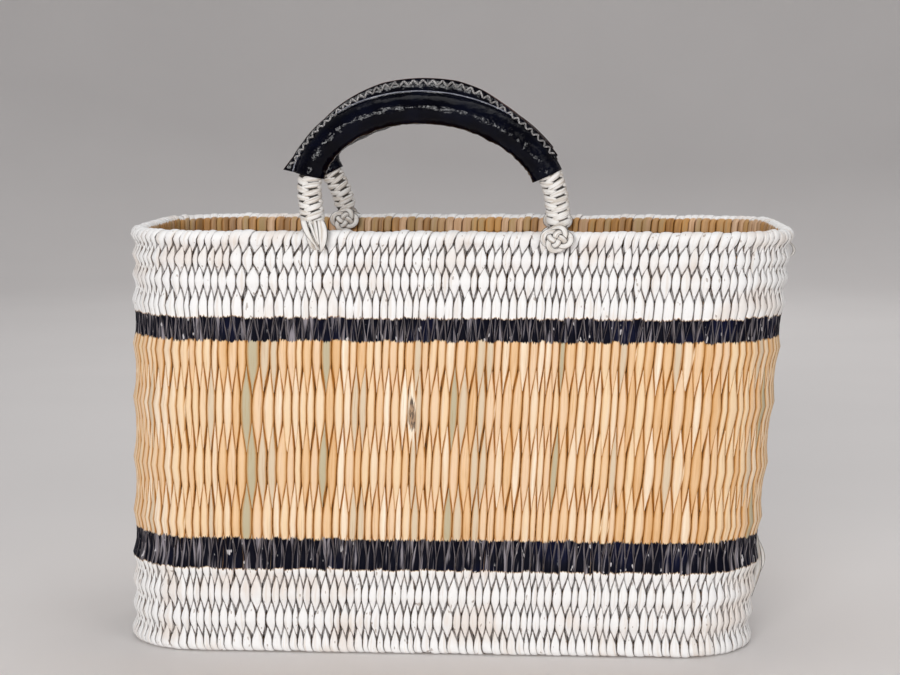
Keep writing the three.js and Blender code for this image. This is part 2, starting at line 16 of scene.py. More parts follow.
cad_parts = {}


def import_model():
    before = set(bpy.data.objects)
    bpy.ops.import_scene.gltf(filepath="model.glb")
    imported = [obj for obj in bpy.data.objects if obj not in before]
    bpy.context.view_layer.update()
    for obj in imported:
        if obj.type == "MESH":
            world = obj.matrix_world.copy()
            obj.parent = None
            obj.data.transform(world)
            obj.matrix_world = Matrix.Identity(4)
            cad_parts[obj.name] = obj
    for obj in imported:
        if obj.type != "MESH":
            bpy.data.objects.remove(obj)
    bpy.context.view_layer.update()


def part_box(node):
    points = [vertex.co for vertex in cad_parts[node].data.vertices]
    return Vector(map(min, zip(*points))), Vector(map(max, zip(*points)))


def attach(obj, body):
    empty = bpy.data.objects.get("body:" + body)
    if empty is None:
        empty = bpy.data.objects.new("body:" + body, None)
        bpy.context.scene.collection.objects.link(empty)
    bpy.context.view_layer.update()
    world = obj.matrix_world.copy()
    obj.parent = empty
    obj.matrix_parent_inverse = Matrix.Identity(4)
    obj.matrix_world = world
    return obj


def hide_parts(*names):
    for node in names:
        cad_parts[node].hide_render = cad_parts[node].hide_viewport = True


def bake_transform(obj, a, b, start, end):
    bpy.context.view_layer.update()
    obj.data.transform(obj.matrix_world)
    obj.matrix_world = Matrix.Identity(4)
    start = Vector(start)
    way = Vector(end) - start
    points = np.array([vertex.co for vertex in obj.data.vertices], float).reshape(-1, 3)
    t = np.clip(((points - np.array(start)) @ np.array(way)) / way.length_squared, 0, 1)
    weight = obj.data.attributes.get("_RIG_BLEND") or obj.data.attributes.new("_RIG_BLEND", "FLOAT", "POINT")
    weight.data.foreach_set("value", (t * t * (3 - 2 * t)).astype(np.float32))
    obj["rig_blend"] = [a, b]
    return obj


LOG = logging.getLogger("market_tote")
MM = 0.001
TAU = 2.0 * math.pi
# The depth attribute has this value on the reeds' faces that look into the basket, so no painted shade falls
# on them.
INNER_FACE_SINK = 9.0 * MM
# Tints of reeds that are green or grey all over; the other reeds lie between 0 and 1.
GREEN_TINT = 2.0
GREY_TINT = 3.0
# Beam angles of the lamps.
KEY_SPREAD = math.radians(80.0)
WIDE_SPREAD = math.pi

Object = bpy.types.Object
Material = bpy.types.Material
Outputs = bpy.types.NodeOutputs
Socket = bpy.types.NodeSocket
Value = Union[Socket, float, int, bool, str, Sequence[float]]
Colour = tuple[float, float, float, float]
Pair = tuple[float, float]
Triple = tuple[float, float, float]
Faces = list[tuple[int, ...]]


def srgb(red: float, green: float, blue: float) -> Colour:
    """Turns a screen colour into the renderer's colour.

    Args:
        red: Red from 0 to 255.
        green: Green from 0 to 255.
        blue: Blue from 0 to 255.

    Returns:
        Linear red, green and blue, with full alpha.
    """

    def channel(level: float) -> float:
        """Turns one channel into linear light.

        Args:
            level: Channel from 0 to 255.

        Returns:
            Share of the full light.
        """
        share = level / 255.0
        if share <= 0.04045:
            return share / 12.92
        return ((share + 0.055) / 1.055) ** 2.4

    return channel(red), channel(green), channel(blue), 1.0


def ease(value: float, low: float, high: float) -> float:
    """Smooth step of a value between two limits, from 0 to 1."""
    share = min(max((value - low) / (high - low), 0.0), 1.0)
    return share * share * (3.0 - 2.0 * share)


def linked(name: str, data: bpy.types.ID) -> Object:
    """Makes an object of some data and links it to the scene.

    Args:
        name: Name of the object.
        data: Mesh, curve, lamp or camera.

    Returns:
        The new object.
    """
    made = bpy.data.objects.new(name, data)
    bpy.context.scene.collection.objects.link(made)
    return made


def mesh_object(
    name: str,
    vertices: Sequence[Sequence[float]],
    faces: Sequence[Sequence[int]] = (),
    attributes: Optional[dict[str, np.ndarray]] = None,
) -> Object:
    """Makes a smooth mesh object at the origin.

    Args:
        name: Name of the object and its mesh.
        vertices: Points in metres.
        faces: Corner numbers of each face, empty for loose points.
        attributes: Values for each point; rows of three become vectors.

    Returns:
        The new object, linked to the scene.
    """
    mesh = bpy.data.meshes.new(name)
    mesh.from_pydata([tuple(map(float, v)) for v in vertices], [], [tuple(map(int, f)) for f in faces])
    for key, values in (attributes or {}).items():
        table = np.asarray(values, np.float32)
        is_vector = table.ndim == 2
        layer = mesh.attributes.new(key, "FLOAT_VECTOR" if is_vector else "FLOAT", "POINT")
        layer.data.foreach_set("vector" if is_vector else "value", table.ravel())
    mesh.polygons.foreach_set("use_smooth", [True] * len(mesh.polygons))
    mesh.update()
    return linked(name, mesh)


def path_object(name: str, paths: Sequence[Sequence[Sequence[float]]], cyclic: bool) -> Object:
    """Makes a curve object of straight-stepped paths for a node tree to follow.

    Args:
        name: Name of the object.
        paths: Points of each path in metres.
        cyclic: Whether each path closes on itself.

    Returns:
        The new curve object.
    """
    curve = bpy.data.curves.new(name, "CURVE")
    curve.dimensions = "3D"
    curve.twist_mode = "Z_UP"
    for points in paths:
        spline = curve.splines.new("POLY")
        spline.points.add(len(points) - 1)
        flat = [float(c) for p in points for c in (*p, 1.0)]
        spline.points.foreach_set("co", flat)
        spline.use_cyclic_u = cyclic
    return linked(name, curve)


def discard(*objects: Object) -> None:
    """Removes helper objects and their data from the scene."""
    for helper in objects:
        data = helper.data
        bpy.data.objects.remove(helper)
        if isinstance(data, bpy.types.Mesh):
            bpy.data.meshes.remove(data)
        elif isinstance(data, bpy.types.Curve):
            bpy.data.curves.remove(data)


def loft(
    rings: Sequence[np.ndarray],
    cap_start: bool = True,
    cap_end: bool = True,
    turned: bool = False,
) -> tuple[np.ndarray, Faces]:
    """Skins rings of equal length into a tube.

    Args:
        rings: Points of each ring, in order round the section.
        cap_start: Whether the first ring is closed by a face.
        cap_end: Whether the last ring is closed by a face.
        turned: Whether the faces turn the other way round.

    Returns:
        The points and the faces of the tube.
    """
    count = len(rings[0])
    faces: Faces = []
    for step in range(len(rings) - 1):
        near = step * count
        far = near + count
        for k in range(count):
            after = (k + 1) % count
            faces.append((near + k, near + after, far + after, far + k))
    if cap_start:
        faces.append(tuple(reversed(range(count))))
    if cap_end:
        faces.append(tuple(range((len(rings) - 1) * count, len(rings) * count)))
    if turned:
        faces = [tuple(reversed(f)) for f in faces]
    return np.concatenate(rings), faces


def outward_faces(points: np.ndarray, faces: Faces) -> Faces:
    """Turns the faces of a closed shape outwards.

    Args:
        points: Points of the shape.
        faces: Corner numbers of its faces, all turned the same way.

    Returns:
        The faces, reversed if they looked inwards.
    """
    middle = points.mean(axis=0)
    volume = 0.0
    for face in faces:
        corners = points[list(face)] - middle
        for k in range(1, len(face) - 1):
            volume += float(np.dot(corners[0], np.cross(corners[k], corners[k + 1])))
    return [tuple(reversed(f)) for f in faces] if volume < 0.0 else faces


def tube_rings(points: np.ndarray, section: np.ndarray, side: np.ndarray) -> list[np.ndarray]:
    """Carries a section along a path.

    Args:
        points: Path points in metres.
        section: Sideways and outward distances of the section's points.
        side: Direction that stays sideways.

    Returns:
        One ring of points for each path point.
    """
    along = np.gradient(points, axis=0)
    along /= np.linalg.norm(along, axis=1, keepdims=True)
    rings = []
    across = side
    for point, ahead in zip(points, along):
        across = across - ahead * np.dot(across, ahead)
        across /= np.linalg.norm(across)
        outward = np.cross(ahead, across)
        rings.append(point + section[:, :1] * across + section[:, 1:] * outward)
    return rings


def oval(width: float = 1.0, thickness: float = 1.0, sides: int = 6) -> np.ndarray:
    """Points of an oval section, with its half width and half thickness in metres."""
    turn = np.arange(sides) * TAU / sides
    return np.stack([width * np.cos(turn), thickness * np.sin(turn)], axis=1)


class NodeSketch:
    """Adds nodes to one tree and joins them, for shaders and Geometry Nodes alike."""

    MIX_SOCKETS = {"FLOAT": (2, 3, 0), "RGBA": (6, 7, 2)}
    COLUMN = 180.0
    ROWS = 12

    def __init__(self, tree: bpy.types.NodeTree) -> None:
        """Starts on an empty tree."""
        self.tree = tree
        self.tree.nodes.clear()

    def feed(self, socket: Socket, value: Value) -> None:
        """Feeds a socket.

        Args:
            socket: Socket to feed.
            value: Socket to link into it, or its plain value.
        """
        if isinstance(value, Socket):
            self.tree.links.new(value, socket)
        else:
            socket.default_value = value

    def node(
        self,
        kind: str,
        inputs: Optional[dict[str, Value]] = None,
        **settings: object,
    ) -> bpy.types.Node:
        """Adds a node.

        Args:
            kind: Blender's name for the kind of node.
            inputs: Sockets to feed, by name.
            **settings: Properties of the node.

        Returns:
            The new node.
        """
        made = self.tree.nodes.new(kind)
        place = len(self.tree.nodes)
        made.location = ((place // self.ROWS) * self.COLUMN, -(place % self.ROWS) * self.COLUMN)
        for key, value in settings.items():
            setattr(made, key, value)
        for key, value in (inputs or {}).items():
            self.feed(made.inputs[key], value)
        return made

    def math(self, operation: str, *values: Value, kind: str = "ShaderNodeMath") -> Socket:
        """Adds a Math node.

        Args:
            operation: Name of the operation.
            *values: Its operands.
            kind: Kind of node, for numbers or for vectors.

        Returns:
            The result.
        """
        made = self.node(kind, operation=operation)
        for socket, value in zip(made.inputs, values):
            self.feed(socket, value)
        return made.outputs[0]

    def times(self, first: Value, second: Value) -> Socket:
        """Adds a Math node that multiplies and returns its result."""
        return self.math("MULTIPLY", first, second)

    def plus(self, first: Value, second: Value) -> Socket:
        """Adds a Math node that adds and returns its result."""
        return self.math("ADD", first, second)

    def minus(self, first: Value, second: Value) -> Socket:
        """Adds a Math node that subtracts and returns its result."""
        return self.math("SUBTRACT", first, second)

    def vector(self, operation: str, *values: Value) -> Socket:
        """Adds a Vector Math node on the given vectors and returns its result."""
        return self.math(operation, *values, kind="ShaderNodeVectorMath")

    def scaled(self, vector: Value, scale: Value) -> Socket:
        """Adds a Vector Math node that scales a vector and returns its result."""
        made = self.node("ShaderNodeVectorMath", {"Vector": vector, "Scale": scale}, operation="SCALE")
        return made.outputs["Vector"]

    def mix(self, share: Value, low: Value, high: Value, kind: str = "FLOAT") -> Socket:
        """Adds a Mix node.

        Args:
            share: Share of the second value, from 0 to 1.
            low: First value.
            high: Second value.
            kind: FLOAT for numbers or RGBA for colours.

        Returns:
            The result.
        """
        made = self.node("ShaderNodeMix", data_type=kind)
        first, second, out = self.MIX_SOCKETS[kind]
        self.feed(made.inputs[0], share)
        self.feed(made.inputs[first], low)
        self.feed(made.inputs[second], high)
        return made.outputs[out]

    def tone(self, share: Value, low: Value, high: Value) -> Socket:
        """Adds a Mix node for colours and returns its result."""
        return self.mix(share, low, high, "RGBA")

    def span(self, value: Value, low: Value, high: Value, start: Value = 0.0, end: Value = 1.0) -> Socket:
        """Adds a smooth, clamped Map Range.

        Args:
            value: Value to map.
            low: Value that gives the start.
            high: Value that gives the end.
            start: Result at the low value.
            end: Result at the high value.

        Returns:
            The result.
        """
        made = self.node(
            "ShaderNodeMapRange",
            {"Value": value, "From Min": low, "From Max": high, "To Min": start, "To Max": end},
            interpolation_type="SMOOTHSTEP",
        )
        return made.outputs[0]

    def noise(self, vector: Value, scale: Value, detail: float = 2.0) -> Socket:
        """Adds a Noise Texture and returns its value, about 0.5 on average."""
        made = self.node("ShaderNodeTexNoise", {"Vector": vector, "Scale": scale, "Detail": detail})
        return made.outputs[0]

    def combine(self, x: Value, y: Value, z: Value) -> Socket:
        """Adds a Combine XYZ node and returns its vector."""
        return self.node("ShaderNodeCombineXYZ", {"X": x, "Y": y, "Z": z}).outputs[0]

    def separate(self, vector: Value) -> tuple[Socket, Socket, Socket]:
        """Adds a Separate XYZ node and returns its three values."""
        x, y, z = self.node("ShaderNodeSeparateXYZ", {"Vector": vector}).outputs
        return x, y, z

    def ramp(self, value: Value, stops: Sequence[tuple[float, Colour]]) -> Socket:
        """Adds a Color Ramp.

        Args:
            value: Place on the ramp.
            stops: Place and colour of each stop.

        Returns:
            The colour.
        """
        made = self.node("ShaderNodeValToRGB", {"Fac": value})
        elements = made.color_ramp.elements
        while len(elements) < len(stops):
            elements.new(0.5)
        for element, (place, colour) in zip(elements, stops):
            element.position = place
            element.color = colour
        return made.outputs[0]

    def group(self, tree: bpy.types.NodeTree, inputs: dict[str, Value]) -> Outputs:
        """Adds a shader node group with its own values and returns its outputs."""
        return self.node("ShaderNodeGroup", inputs, node_tree=tree).outputs

    def place(self) -> Socket:
        """Adds a Texture Coordinate node and returns the object coordinates."""
        return self.node("ShaderNodeTexCoord").outputs["Object"]

    def attribute(self, name: str) -> Socket:
        """Adds a shader Attribute node and returns its single value."""
        return self.node("ShaderNodeAttribute", attribute_name=name).outputs["Fac"]

    def named(self, name: str, kind: str = "FLOAT") -> Socket:
        """Adds a Geometry Nodes Named Attribute node and returns its value."""
        return self.node("GeometryNodeInputNamedAttribute", {"Name": name}, data_type=kind).outputs[0]

    def shape_of(self, item: Value) -> Socket:
        """Adds an Object Info node and returns the object's geometry."""
        return self.node("GeometryNodeObjectInfo", {"Object": item}).outputs["Geometry"]

    def store(self, geometry: Value, name: str, value: Value, domain: str) -> Socket:
        """Adds a Store Named Attribute node for numbers.

        Args:
            geometry: Geometry to store on.
            name: Name of the attribute.
            value: Its value.
            domain: POINT or CORNER.

        Returns:
            The geometry with the attribute.
        """
        inputs = {"Geometry": geometry, "Name": name, "Value": value}
        made = self.node("GeometryNodeStoreNamedAttribute", inputs, data_type="FLOAT", domain=domain)
        return made.outputs[0]


def geometry_tree(
    name: str,
    objects: Sequence[str],
    floats: Sequence[str] = (),
) -> tuple[NodeSketch, Outputs]:
    """Starts a Geometry Nodes tree with named inputs, the last of which is its Finish.

    Args:
        name: Name of the tree.
        objects: Names of the inputs that take an object.
        floats: Names of the inputs that take a number.

    Returns:
        The sketch of the tree and the outputs of its Group Input.
    """
    tree = bpy.data.node_groups.new(name, "GeometryNodeTree")
    inputs = [("Geometry", "Geometry"), *((label, "Object") for label in objects)]
    inputs += [*((label, "Float") for label in floats), ("Finish", "Material")]
    for label, kind in inputs:
        tree.interface.new_socket(label, in_out="INPUT", socket_type=f"NodeSocket{kind}")
    tree.interface.new_socket("Geometry", in_out="OUTPUT", socket_type="NodeSocketGeometry")
    sketch = NodeSketch(tree)
    return sketch, sketch.node("NodeGroupInput").outputs


def close_tree(sketch: NodeSketch, geometry: Socket, finish: Socket) -> bpy.types.GeometryNodeTree:
    """Ends a Geometry Nodes tree in Realize Instances and Set Material.

    Args:
        sketch: Sketch of the tree.
        geometry: Geometry to hand out.
        finish: Material to set on it.

    Returns:
        The finished tree.
    """
    whole = sketch.node("GeometryNodeRealizeInstances", {"Geometry": geometry})
    dressed = sketch.node("GeometryNodeSetMaterial", {"Geometry": whole.outputs[0], "Material": finish})
    sketch.feed(sketch.node("NodeGroupOutput").inputs[0], dressed.outputs[0])
    return sketch.tree


def grow(
    name: str,
    carrier: Object,
    tree: bpy.types.GeometryNodeTree,
    inputs: dict[str, object],
    kept: Sequence[str] = (),
) -> Object:
    """Runs a tree on a carrier and turns the result into a plain mesh piece.

    Args:
        name: Name of the piece.
        carrier: Object that the tree starts from; it is removed afterwards.
        tree: Geometry Nodes tree.
        inputs: Values of the tree's inputs, by name.
        kept: Attributes of the result that the finish reads.

    Returns:
        The piece, at the origin.
    """
    modifier = carrier.modifiers.new("grow", "NODES")
    modifier.node_group = tree
    for item in tree.interface.items_tree:
        if item.item_type == "SOCKET" and item.in_out == "INPUT" and item.name in inputs:
            modifier[item.identifier] = inputs[item.name]
    graph = bpy.context.evaluated_depsgraph_get()
    mesh = bpy.data.meshes.new_from_object(
        carrier.evaluated_get(graph), preserve_all_data_layers=True, depsgraph=graph
    )
    carrier.modifiers.remove(modifier)
    discard(carrier)
    used = (*kept, "sharp_face", "material_index")
    spare = [
        a.name for a in mesh.attributes if not (a.is_required or a.name.startswith(".") or a.name in used)
    ]
    for key in spare:
        mesh.attributes.remove(mesh.attributes[key])
    mesh.name = name
    return linked(name, mesh)


def shader_group(
    name: str,
    inputs: Sequence[str],
    outputs: Sequence[str],
) -> tuple[NodeSketch, Outputs, bpy.types.NodeInputs]:
    """Starts a shader group of plain numbers.

    Args:
        name: Name of the group.
        inputs: Names of its inputs.
        outputs: Names of its outputs.

    Returns:
        The sketch of the group, the outputs of its Group Input and the inputs of its Group Output.
    """
    tree = bpy.data.node_groups.new(name, "ShaderNodeTree")
    for way, labels in (("INPUT", inputs), ("OUTPUT", outputs)):
        for label in labels:
            tree.interface.new_socket(label, in_out=way, socket_type="NodeSocketFloat")
    sketch = NodeSketch(tree)
    return sketch, sketch.node("NodeGroupInput").outputs, sketch.node("NodeGroupOutput").inputs


def streak_group() -> bpy.types.ShaderNodeTree:
    """Shader group of lengthwise grain on a reed or strip, made once.

    Returns:
        Group with the inputs Across, Along, Seed, Lines and Length, and the outputs Streak and Fine.
    """
    name = "lengthwise_streaks"
    if name in bpy.data.node_groups:
        return bpy.data.node_groups[name]
    inputs = ("Across", "Along", "Seed", "Lines", "Length")
    sketch, start, out = shader_group(name, inputs, ("Streak", "Fine"))
    seed = start["Seed"]
    place = sketch.times(start["Across"], start["Lines"])
    run = sketch.math("DIVIDE", start["Along"], start["Length"])
    broad = sketch.combine(sketch.math("MULTIPLY_ADD", seed, 31.7, place), run, sketch.times(seed, 7.3))
    narrow = sketch.combine(sketch.math("MULTIPLY_ADD", place, 3.0, sketch.times(seed, 13.1)), run, 4.7)
    sketch.feed(out["Streak"], sketch.noise(broad, 1.0, 2.0))
    sketch.feed(out["Fine"], sketch.noise(narrow, 1.0, 3.0))
    return sketch.tree


def band_group() -> bpy.types.ShaderNodeTree:
    """Shader group of a mask between two heights, made once.

    Returns:
        Group with the inputs Height, Low, High and Softness, and the output Mask.
    """
    name = "band_mask"
    if name in bpy.data.node_groups:
        return bpy.data.node_groups[name]
    sketch, start, out = shader_group(name, ("Height", "Low", "High", "Softness"), ("Mask",))
    soft = start["Softness"]
    sides = []
    for edge, ends in ((start["Low"], (0.0, 1.0)), (start["High"], (1.0, 0.0))):
        sides.append(sketch.span(start["Height"], sketch.minus(edge, soft), sketch.plus(edge, soft), *ends))
    sketch.feed(out["Mask"], sketch.times(*sides))
    return sketch.tree


def new_material(name: str) -> tuple[Material, NodeSketch, bpy.types.Node]:
    """Starts a material with one Principled shader.

    Args:
        name: Name of the material.

    Returns:
        The material, the sketch of its tree and the Principled node.
    """
    material = bpy.data.materials.new(name)
    material.use_nodes = True
    sketch = NodeSketch(material.node_tree)
    surface = sketch.node("ShaderNodeBsdfPrincipled")
    out = sketch.node("ShaderNodeOutputMaterial")
    sketch.feed(out.inputs["Surface"], surface.outputs[0])
    return material, sketch, surface


def coat(
    sketch: NodeSketch,
    surface: bpy.types.Node,
    colour: Value,
    roughness: Value,
    relief: Socket,
    bump: Pair,
) -> None:
    """Feeds a Principled shader with its colour, roughness and fine relief.

    Args:
        sketch: Sketch of the material's tree.
        surface: The Principled node.
        colour: Base colour.
        roughness: Roughness.
        relief: Height of the relief, about 0 to 1.
        bump: Strength and depth of the relief.
    """
    inputs = {"Height": relief, "Strength": bump[0], "Distance": bump[1]}
    normal = sketch.node("ShaderNodeBump", inputs).outputs[0]
    for key, value in (("Base Color", colour), ("Roughness", roughness), ("Normal", normal)):
        sketch.feed(surface.inputs[key], value)


@dataclass(frozen=True)
class PaintBand:
    """One painted band on the outside of the wall."""

    low: float
    high: float
    fresh: Colour
    worn: Colour
    seam: Colour
    stain: Colour
    fleck: Colour
    wear: float
    stain_share: float
    fleck_share: float
    roughness: float


@dataclass(frozen=True)
class ReedFinish:
    """Woven reeds: natural tints, lengthwise grain, painted shade at the crossings and edges, and painted
    bands.
    """

    name: str
    bands: tuple[PaintBand, ...] = ()
    rim_height: float = 1.0
    edge_jitter: float = 1.6 * MM
    tints: tuple[tuple[float, Colour], ...] = (
        (0.0, srgb(226, 180, 130)),
        (0.2, srgb(238, 200, 156)),
        (0.4, srgb(240, 208, 174)),
        (0.6, srgb(244, 214, 174)),
        (0.8, srgb(244, 220, 190)),
        (1.0, srgb(255, 240, 218)),
    )
    green: Colour = srgb(194, 182, 152)
    grey: Colour = srgb(222, 202, 174)
    # Warm tint towards each reed's rounded edges: painted shade.
    golden_edge_shade: Colour = srgb(192, 134, 62)
    # Colour of fine dark grain, and of the painted shade line at each reed's edge.
    seam: Colour = srgb(174, 114, 42)
    tear: tuple[Colour, Colour] = (srgb(48, 26, 12), srgb(168, 134, 102))
    split: Colour = srgb(252, 238, 216)
    tear_place: Pair = (-25.3 * MM, 155.5 * MM)
    tear_size: Pair = (2.3 * MM, 10.5 * MM)
    split_size: Pair = (2.8 * MM, 19.0 * MM)
    inner_tints: tuple[tuple[float, Colour], ...] = (
        (0.0, srgb(134, 90, 44)),
        (0.3, srgb(196, 142, 76)),
        (0.55, srgb(168, 138, 90)),
        (0.8, srgb(190, 152, 120)),
        (1.0, srgb(222, 186, 152)),
    )
    shade: Colour = srgb(58, 34, 18)

    def material(self) -> Material:
        """Builds the material from the reeds' attributes and heights.

        Returns:
            The material.
        """
        made, sketch, surface = new_material(self.name)
        names = ("reed_tint", "reed_seed", "across", "sink", "reed_lift")
        tint, seed, across, sink, lift = map(sketch.attribute, names)
        inner_face = sketch.span(sink, 0.7 * INNER_FACE_SINK, 0.9 * INNER_FACE_SINK)
        lift = sketch.math("MULTIPLY_ADD", inner_face, -0.5 * INNER_FACE_SINK, lift)
        place = sketch.place()
        x, y, z = sketch.separate(place)
        along = z if self.bands else y
        inputs = {"Across": across, "Along": along, "Seed": seed, "Lines": 1.3, "Length": 0.03}
        grain = sketch.group(streak_group(), inputs)
        streak = grain["Streak"]
        fine = grain["Fine"]
        uneven = sketch.minus(streak, 0.5)
        colour = sketch.ramp(sketch.math("MULTIPLY_ADD", uneven, 0.55, tint), self.tints)
        dull = sketch.tone(sketch.span(tint, GREY_TINT - 0.6, GREY_TINT - 0.4), self.green, self.grey)
        colour = sketch.tone(sketch.span(tint, GREEN_TINT - 0.6, GREEN_TINT - 0.4), colour, dull)
        colour = sketch.tone(sketch.times(sketch.span(fine, 0.56, 0.72), 0.3), colour, self.seam)
        off_middle = sketch.math("ABSOLUTE", across)
        # Warm tint towards each reed's rounded edges: painted shade where the reed turns away from the
        # light.
        colour = sketch.tone(sketch.span(off_middle, 0.4, 0.95, 0.0, 0.8), colour, self.golden_edge_shade)
        # Painted shade: a darker line of the seam colour at each reed's edge, where it meets its neighbour,
        # fading over the rim's top.
        edge = sketch.span(off_middle, 0.74, 1.0)
        if self.bands:
            over_rim = sketch.span(z, self.rim_height + 0.8 * MM, self.rim_height + 3.4 * MM, 1.0, 0.3)
            edge = sketch.times(edge, over_rim)
        colour = sketch.tone(sketch.times(edge, 0.9), colour, self.seam)
        own_tone = sketch.math("FRACT", sketch.times(seed, 3.17))
        inner = sketch.ramp(sketch.math("MULTIPLY_ADD", uneven, 0.8, own_tone), self.inner_tints)
        # Painted shade at the edges of the reeds seen from inside.
        inner = sketch.tone(sketch.times(edge, 0.7), inner, self.shade)
        inside = sketch.span(lift, -2.6 * MM, -1.6 * MM, 0.8, 0.0)
        colour = sketch.tone(inside, colour, inner)
        roughness: Value = 0.58
        if self.bands:
            fibres = sketch.noise(sketch.vector("MULTIPLY", place, (1100.0, 1100.0, 180.0)), 1.0, 2.0)
            tear = sketch.tone(sketch.span(fibres, 0.42, 0.6), *self.tear)
            for size, tone in ((self.split_size, self.split), (self.tear_size, tear)):
                colour = sketch.tone(self.torn(sketch, (x, y, z), fine, size), colour, tone)
            soil = sketch.noise(place, 34.0, 2.0)
            reed = (place, lift, seed, streak, fine, edge, soil)
            colour, roughness = self.paint(sketch, colour, roughness, reed)
        # Painted shade where a reed dives under its neighbours between the rows; the faces that look into
        # the basket get none.
        going_under = sketch.span(sink, 0.35 * MM, 1.1 * MM)
        crossing = sketch.times(going_under, sketch.span(sink, 1.9 * MM, 2.7 * MM, 0.85, 0.0))
        colour = sketch.tone(crossing, colour, self.shade)
        relief = sketch.plus(sketch.times(streak, 0.7), sketch.times(fine, 0.5))
        coat(sketch, surface, colour, roughness, relief, (0.35, 0.4 * MM))
        surface.inputs["Specular IOR Level"].default_value = 0.08
        return made

    def torn(
        self,
        sketch: NodeSketch,
        place: tuple[Socket, Socket, Socket],
        fine: Socket,
        size: Pair,
    ) -> Socket:
        """Share of a ragged oval where the skin of one reed on the front is torn away.

        Args:
            sketch: Sketch of the material's tree.
            place: Object coordinates of the point.
            fine: Fine grain of the reed at the point.
            size: Half width and half height of the oval.

        Returns:
            1 in the oval, 0 around it.
        """
        x, y, z = place
        aside = sketch.math("DIVIDE", sketch.minus(x, self.tear_place[0]), size[0])
        above = sketch.math("DIVIDE", sketch.minus(z, self.tear_place[1]), size[1])
        away = sketch.plus(sketch.times(aside, aside), sketch.times(above, above))
        ragged = sketch.math("MULTIPLY_ADD", sketch.minus(fine, 0.5), 3.0, away)
        front = sketch.span(y, -0.02, 0.0, 1.0, 0.0)
        return sketch.times(sketch.span(ragged, 0.7, 1.1, 0.9, 0.0), front)

    def paint(
        self,
        sketch: NodeSketch,
        colour: Socket,
        roughness: Value,
        surface: tuple[Socket, ...],
    ) -> tuple[Socket, Value]:
        """Lays the painted bands over the natural colour.

        Args:
            sketch: Sketch of the material's tree.
            colour: Colour under the paint.
            roughness: Roughness under the paint.
            surface: Place, lift, seed, streak, fine grain, edge and soil of the reed at the point.

        Returns:
            The painted colour and roughness.
        """
        place, lift, seed, streak, fine, edge, soil = surface
        z = sketch.separate(place)[2]
        flecks = sketch.vector("MULTIPLY", place, (420.0, 420.0, 160.0))
        outside = sketch.span(lift, -0.6 * MM, 0.3 * MM)
        own = sketch.minus(sketch.math("FRACT", sketch.times(seed, 17.31)), 0.5)
        ragged = sketch.times(sketch.minus(fine, 0.5), 3.0)
        offset = sketch.times(sketch.plus(own, ragged), self.edge_jitter)
        level = sketch.plus(z, offset)
        over_rim = sketch.span(level, self.rim_height + 1.2 * MM, self.rim_height + 2.4 * MM)
        over_rim = sketch.times(over_rim, sketch.span(lift, -4.6 * MM, -3.8 * MM))
        reached = sketch.math("MAXIMUM", outside, over_rim)
        for band in self.bands:
            heights = {"Height": level, "Low": band.low, "High": band.high, "Softness": 0.4 * MM}
            mask = sketch.group(band_group(), heights)["Mask"]
            worn = sketch.times(sketch.span(streak, 0.53, 0.68), band.wear)
            tone = sketch.tone(worn, band.fresh, band.worn)
            stained = sketch.span(soil, 0.5, 0.7, 0.0, band.stain_share)
            tone = sketch.tone(stained, tone, band.stain)
            specks = sketch.span(sketch.noise(flecks, 1.0, 1.0), 0.7, 0.74, 0.0, band.fleck_share)
            tone = sketch.tone(specks, tone, band.fleck)
            # Line of the band's seam colour at each reed's edge: on the white bands partly unpainted crevice
            # and partly painted shade, on the navy ones worn paint.
            line = sketch.times(edge, sketch.span(streak, 0.35, 0.6, 0.6, 1.0))
            tone = sketch.tone(line, tone, band.seam)
            covered = sketch.times(mask, reached)
            chipped = sketch.span(fine, 0.68, 0.78, 1.0, 0.6)
            covered = sketch.times(covered, chipped)
            colour = sketch.tone(covered, colour, tone)
            roughness = sketch.mix(covered, roughness, band.roughness)
        return colour, roughness


@dataclass(frozen=True)
class FibreFinish:
    """Brown plant fibre with fine strands and darker patches."""

    name: str
    pale: Colour
    dark: Colour
    scale: float = 420.0

    def material(self) -> Material:
        """Builds the material on object coordinates.

        Returns:
            The material.
        """
        made, sketch, surface = new_material(self.name)
        place = sketch.place()
        strand = sketch.noise(place, self.scale, 3.0)
        patch = sketch.noise(place, self.scale / 9.0, 1.0)
        share = sketch.span(sketch.plus(strand, sketch.times(patch, 0.4)), 0.5, 0.9)
        colour = sketch.tone(share, self.dark, self.pale)
        coat(sketch, surface, colour, sketch.span(strand, 0.3, 0.7, 0.8, 0.95), strand, (0.5, 0.4 * MM))
        return made


@dataclass(frozen=True)
class StripFinish:
    """White-painted reed strips that are wound, plaited or knotted, with painted shade along their edges."""

    name: str
    fresh: Colour = srgb(238, 235, 231)
    worn: Colour = srgb(198, 186, 172)
    # Dark colour of chips where the paint is gone, and of the painted shade along the strips' edges.
    bare_and_shade: Colour = srgb(40, 32, 26)

    def material(self) -> Material:
        """Builds the material from the strips' own attributes.

        Returns:
            The material.
        """
        made, sketch, surface = new_material(self.name)
        across, along, seed = map(sketch.attribute, ("across", "along", "strip_seed"))
        inputs = {"Across": across, "Along": along, "Seed": seed, "Lines": 1.6, "Length": 0.012}
        grain = sketch.group(streak_group(), inputs)
        streak = grain["Streak"]
        fine = grain["Fine"]
        colour = sketch.tone(sketch.span(streak, 0.42, 0.7, 0.0, 0.85), self.fresh, self.worn)
        # Painted shade darkens each strip towards its edges, where strips meet; chips through the paint take
        # the same dark colour.
        edge = sketch.span(sketch.math("ABSOLUTE", across), 0.7, 0.98, 0.0, 0.92)
        chip = sketch.span(fine, 0.62, 0.72, 0.0, 0.6)
        for share in (edge, chip):
            colour = sketch.tone(share, colour, self.bare_and_shade)
        coat(sketch, surface, colour, sketch.span(streak, 0.3, 0.7, 0.62, 0.82), fine, (0.5, 0.4 * MM))
        return made


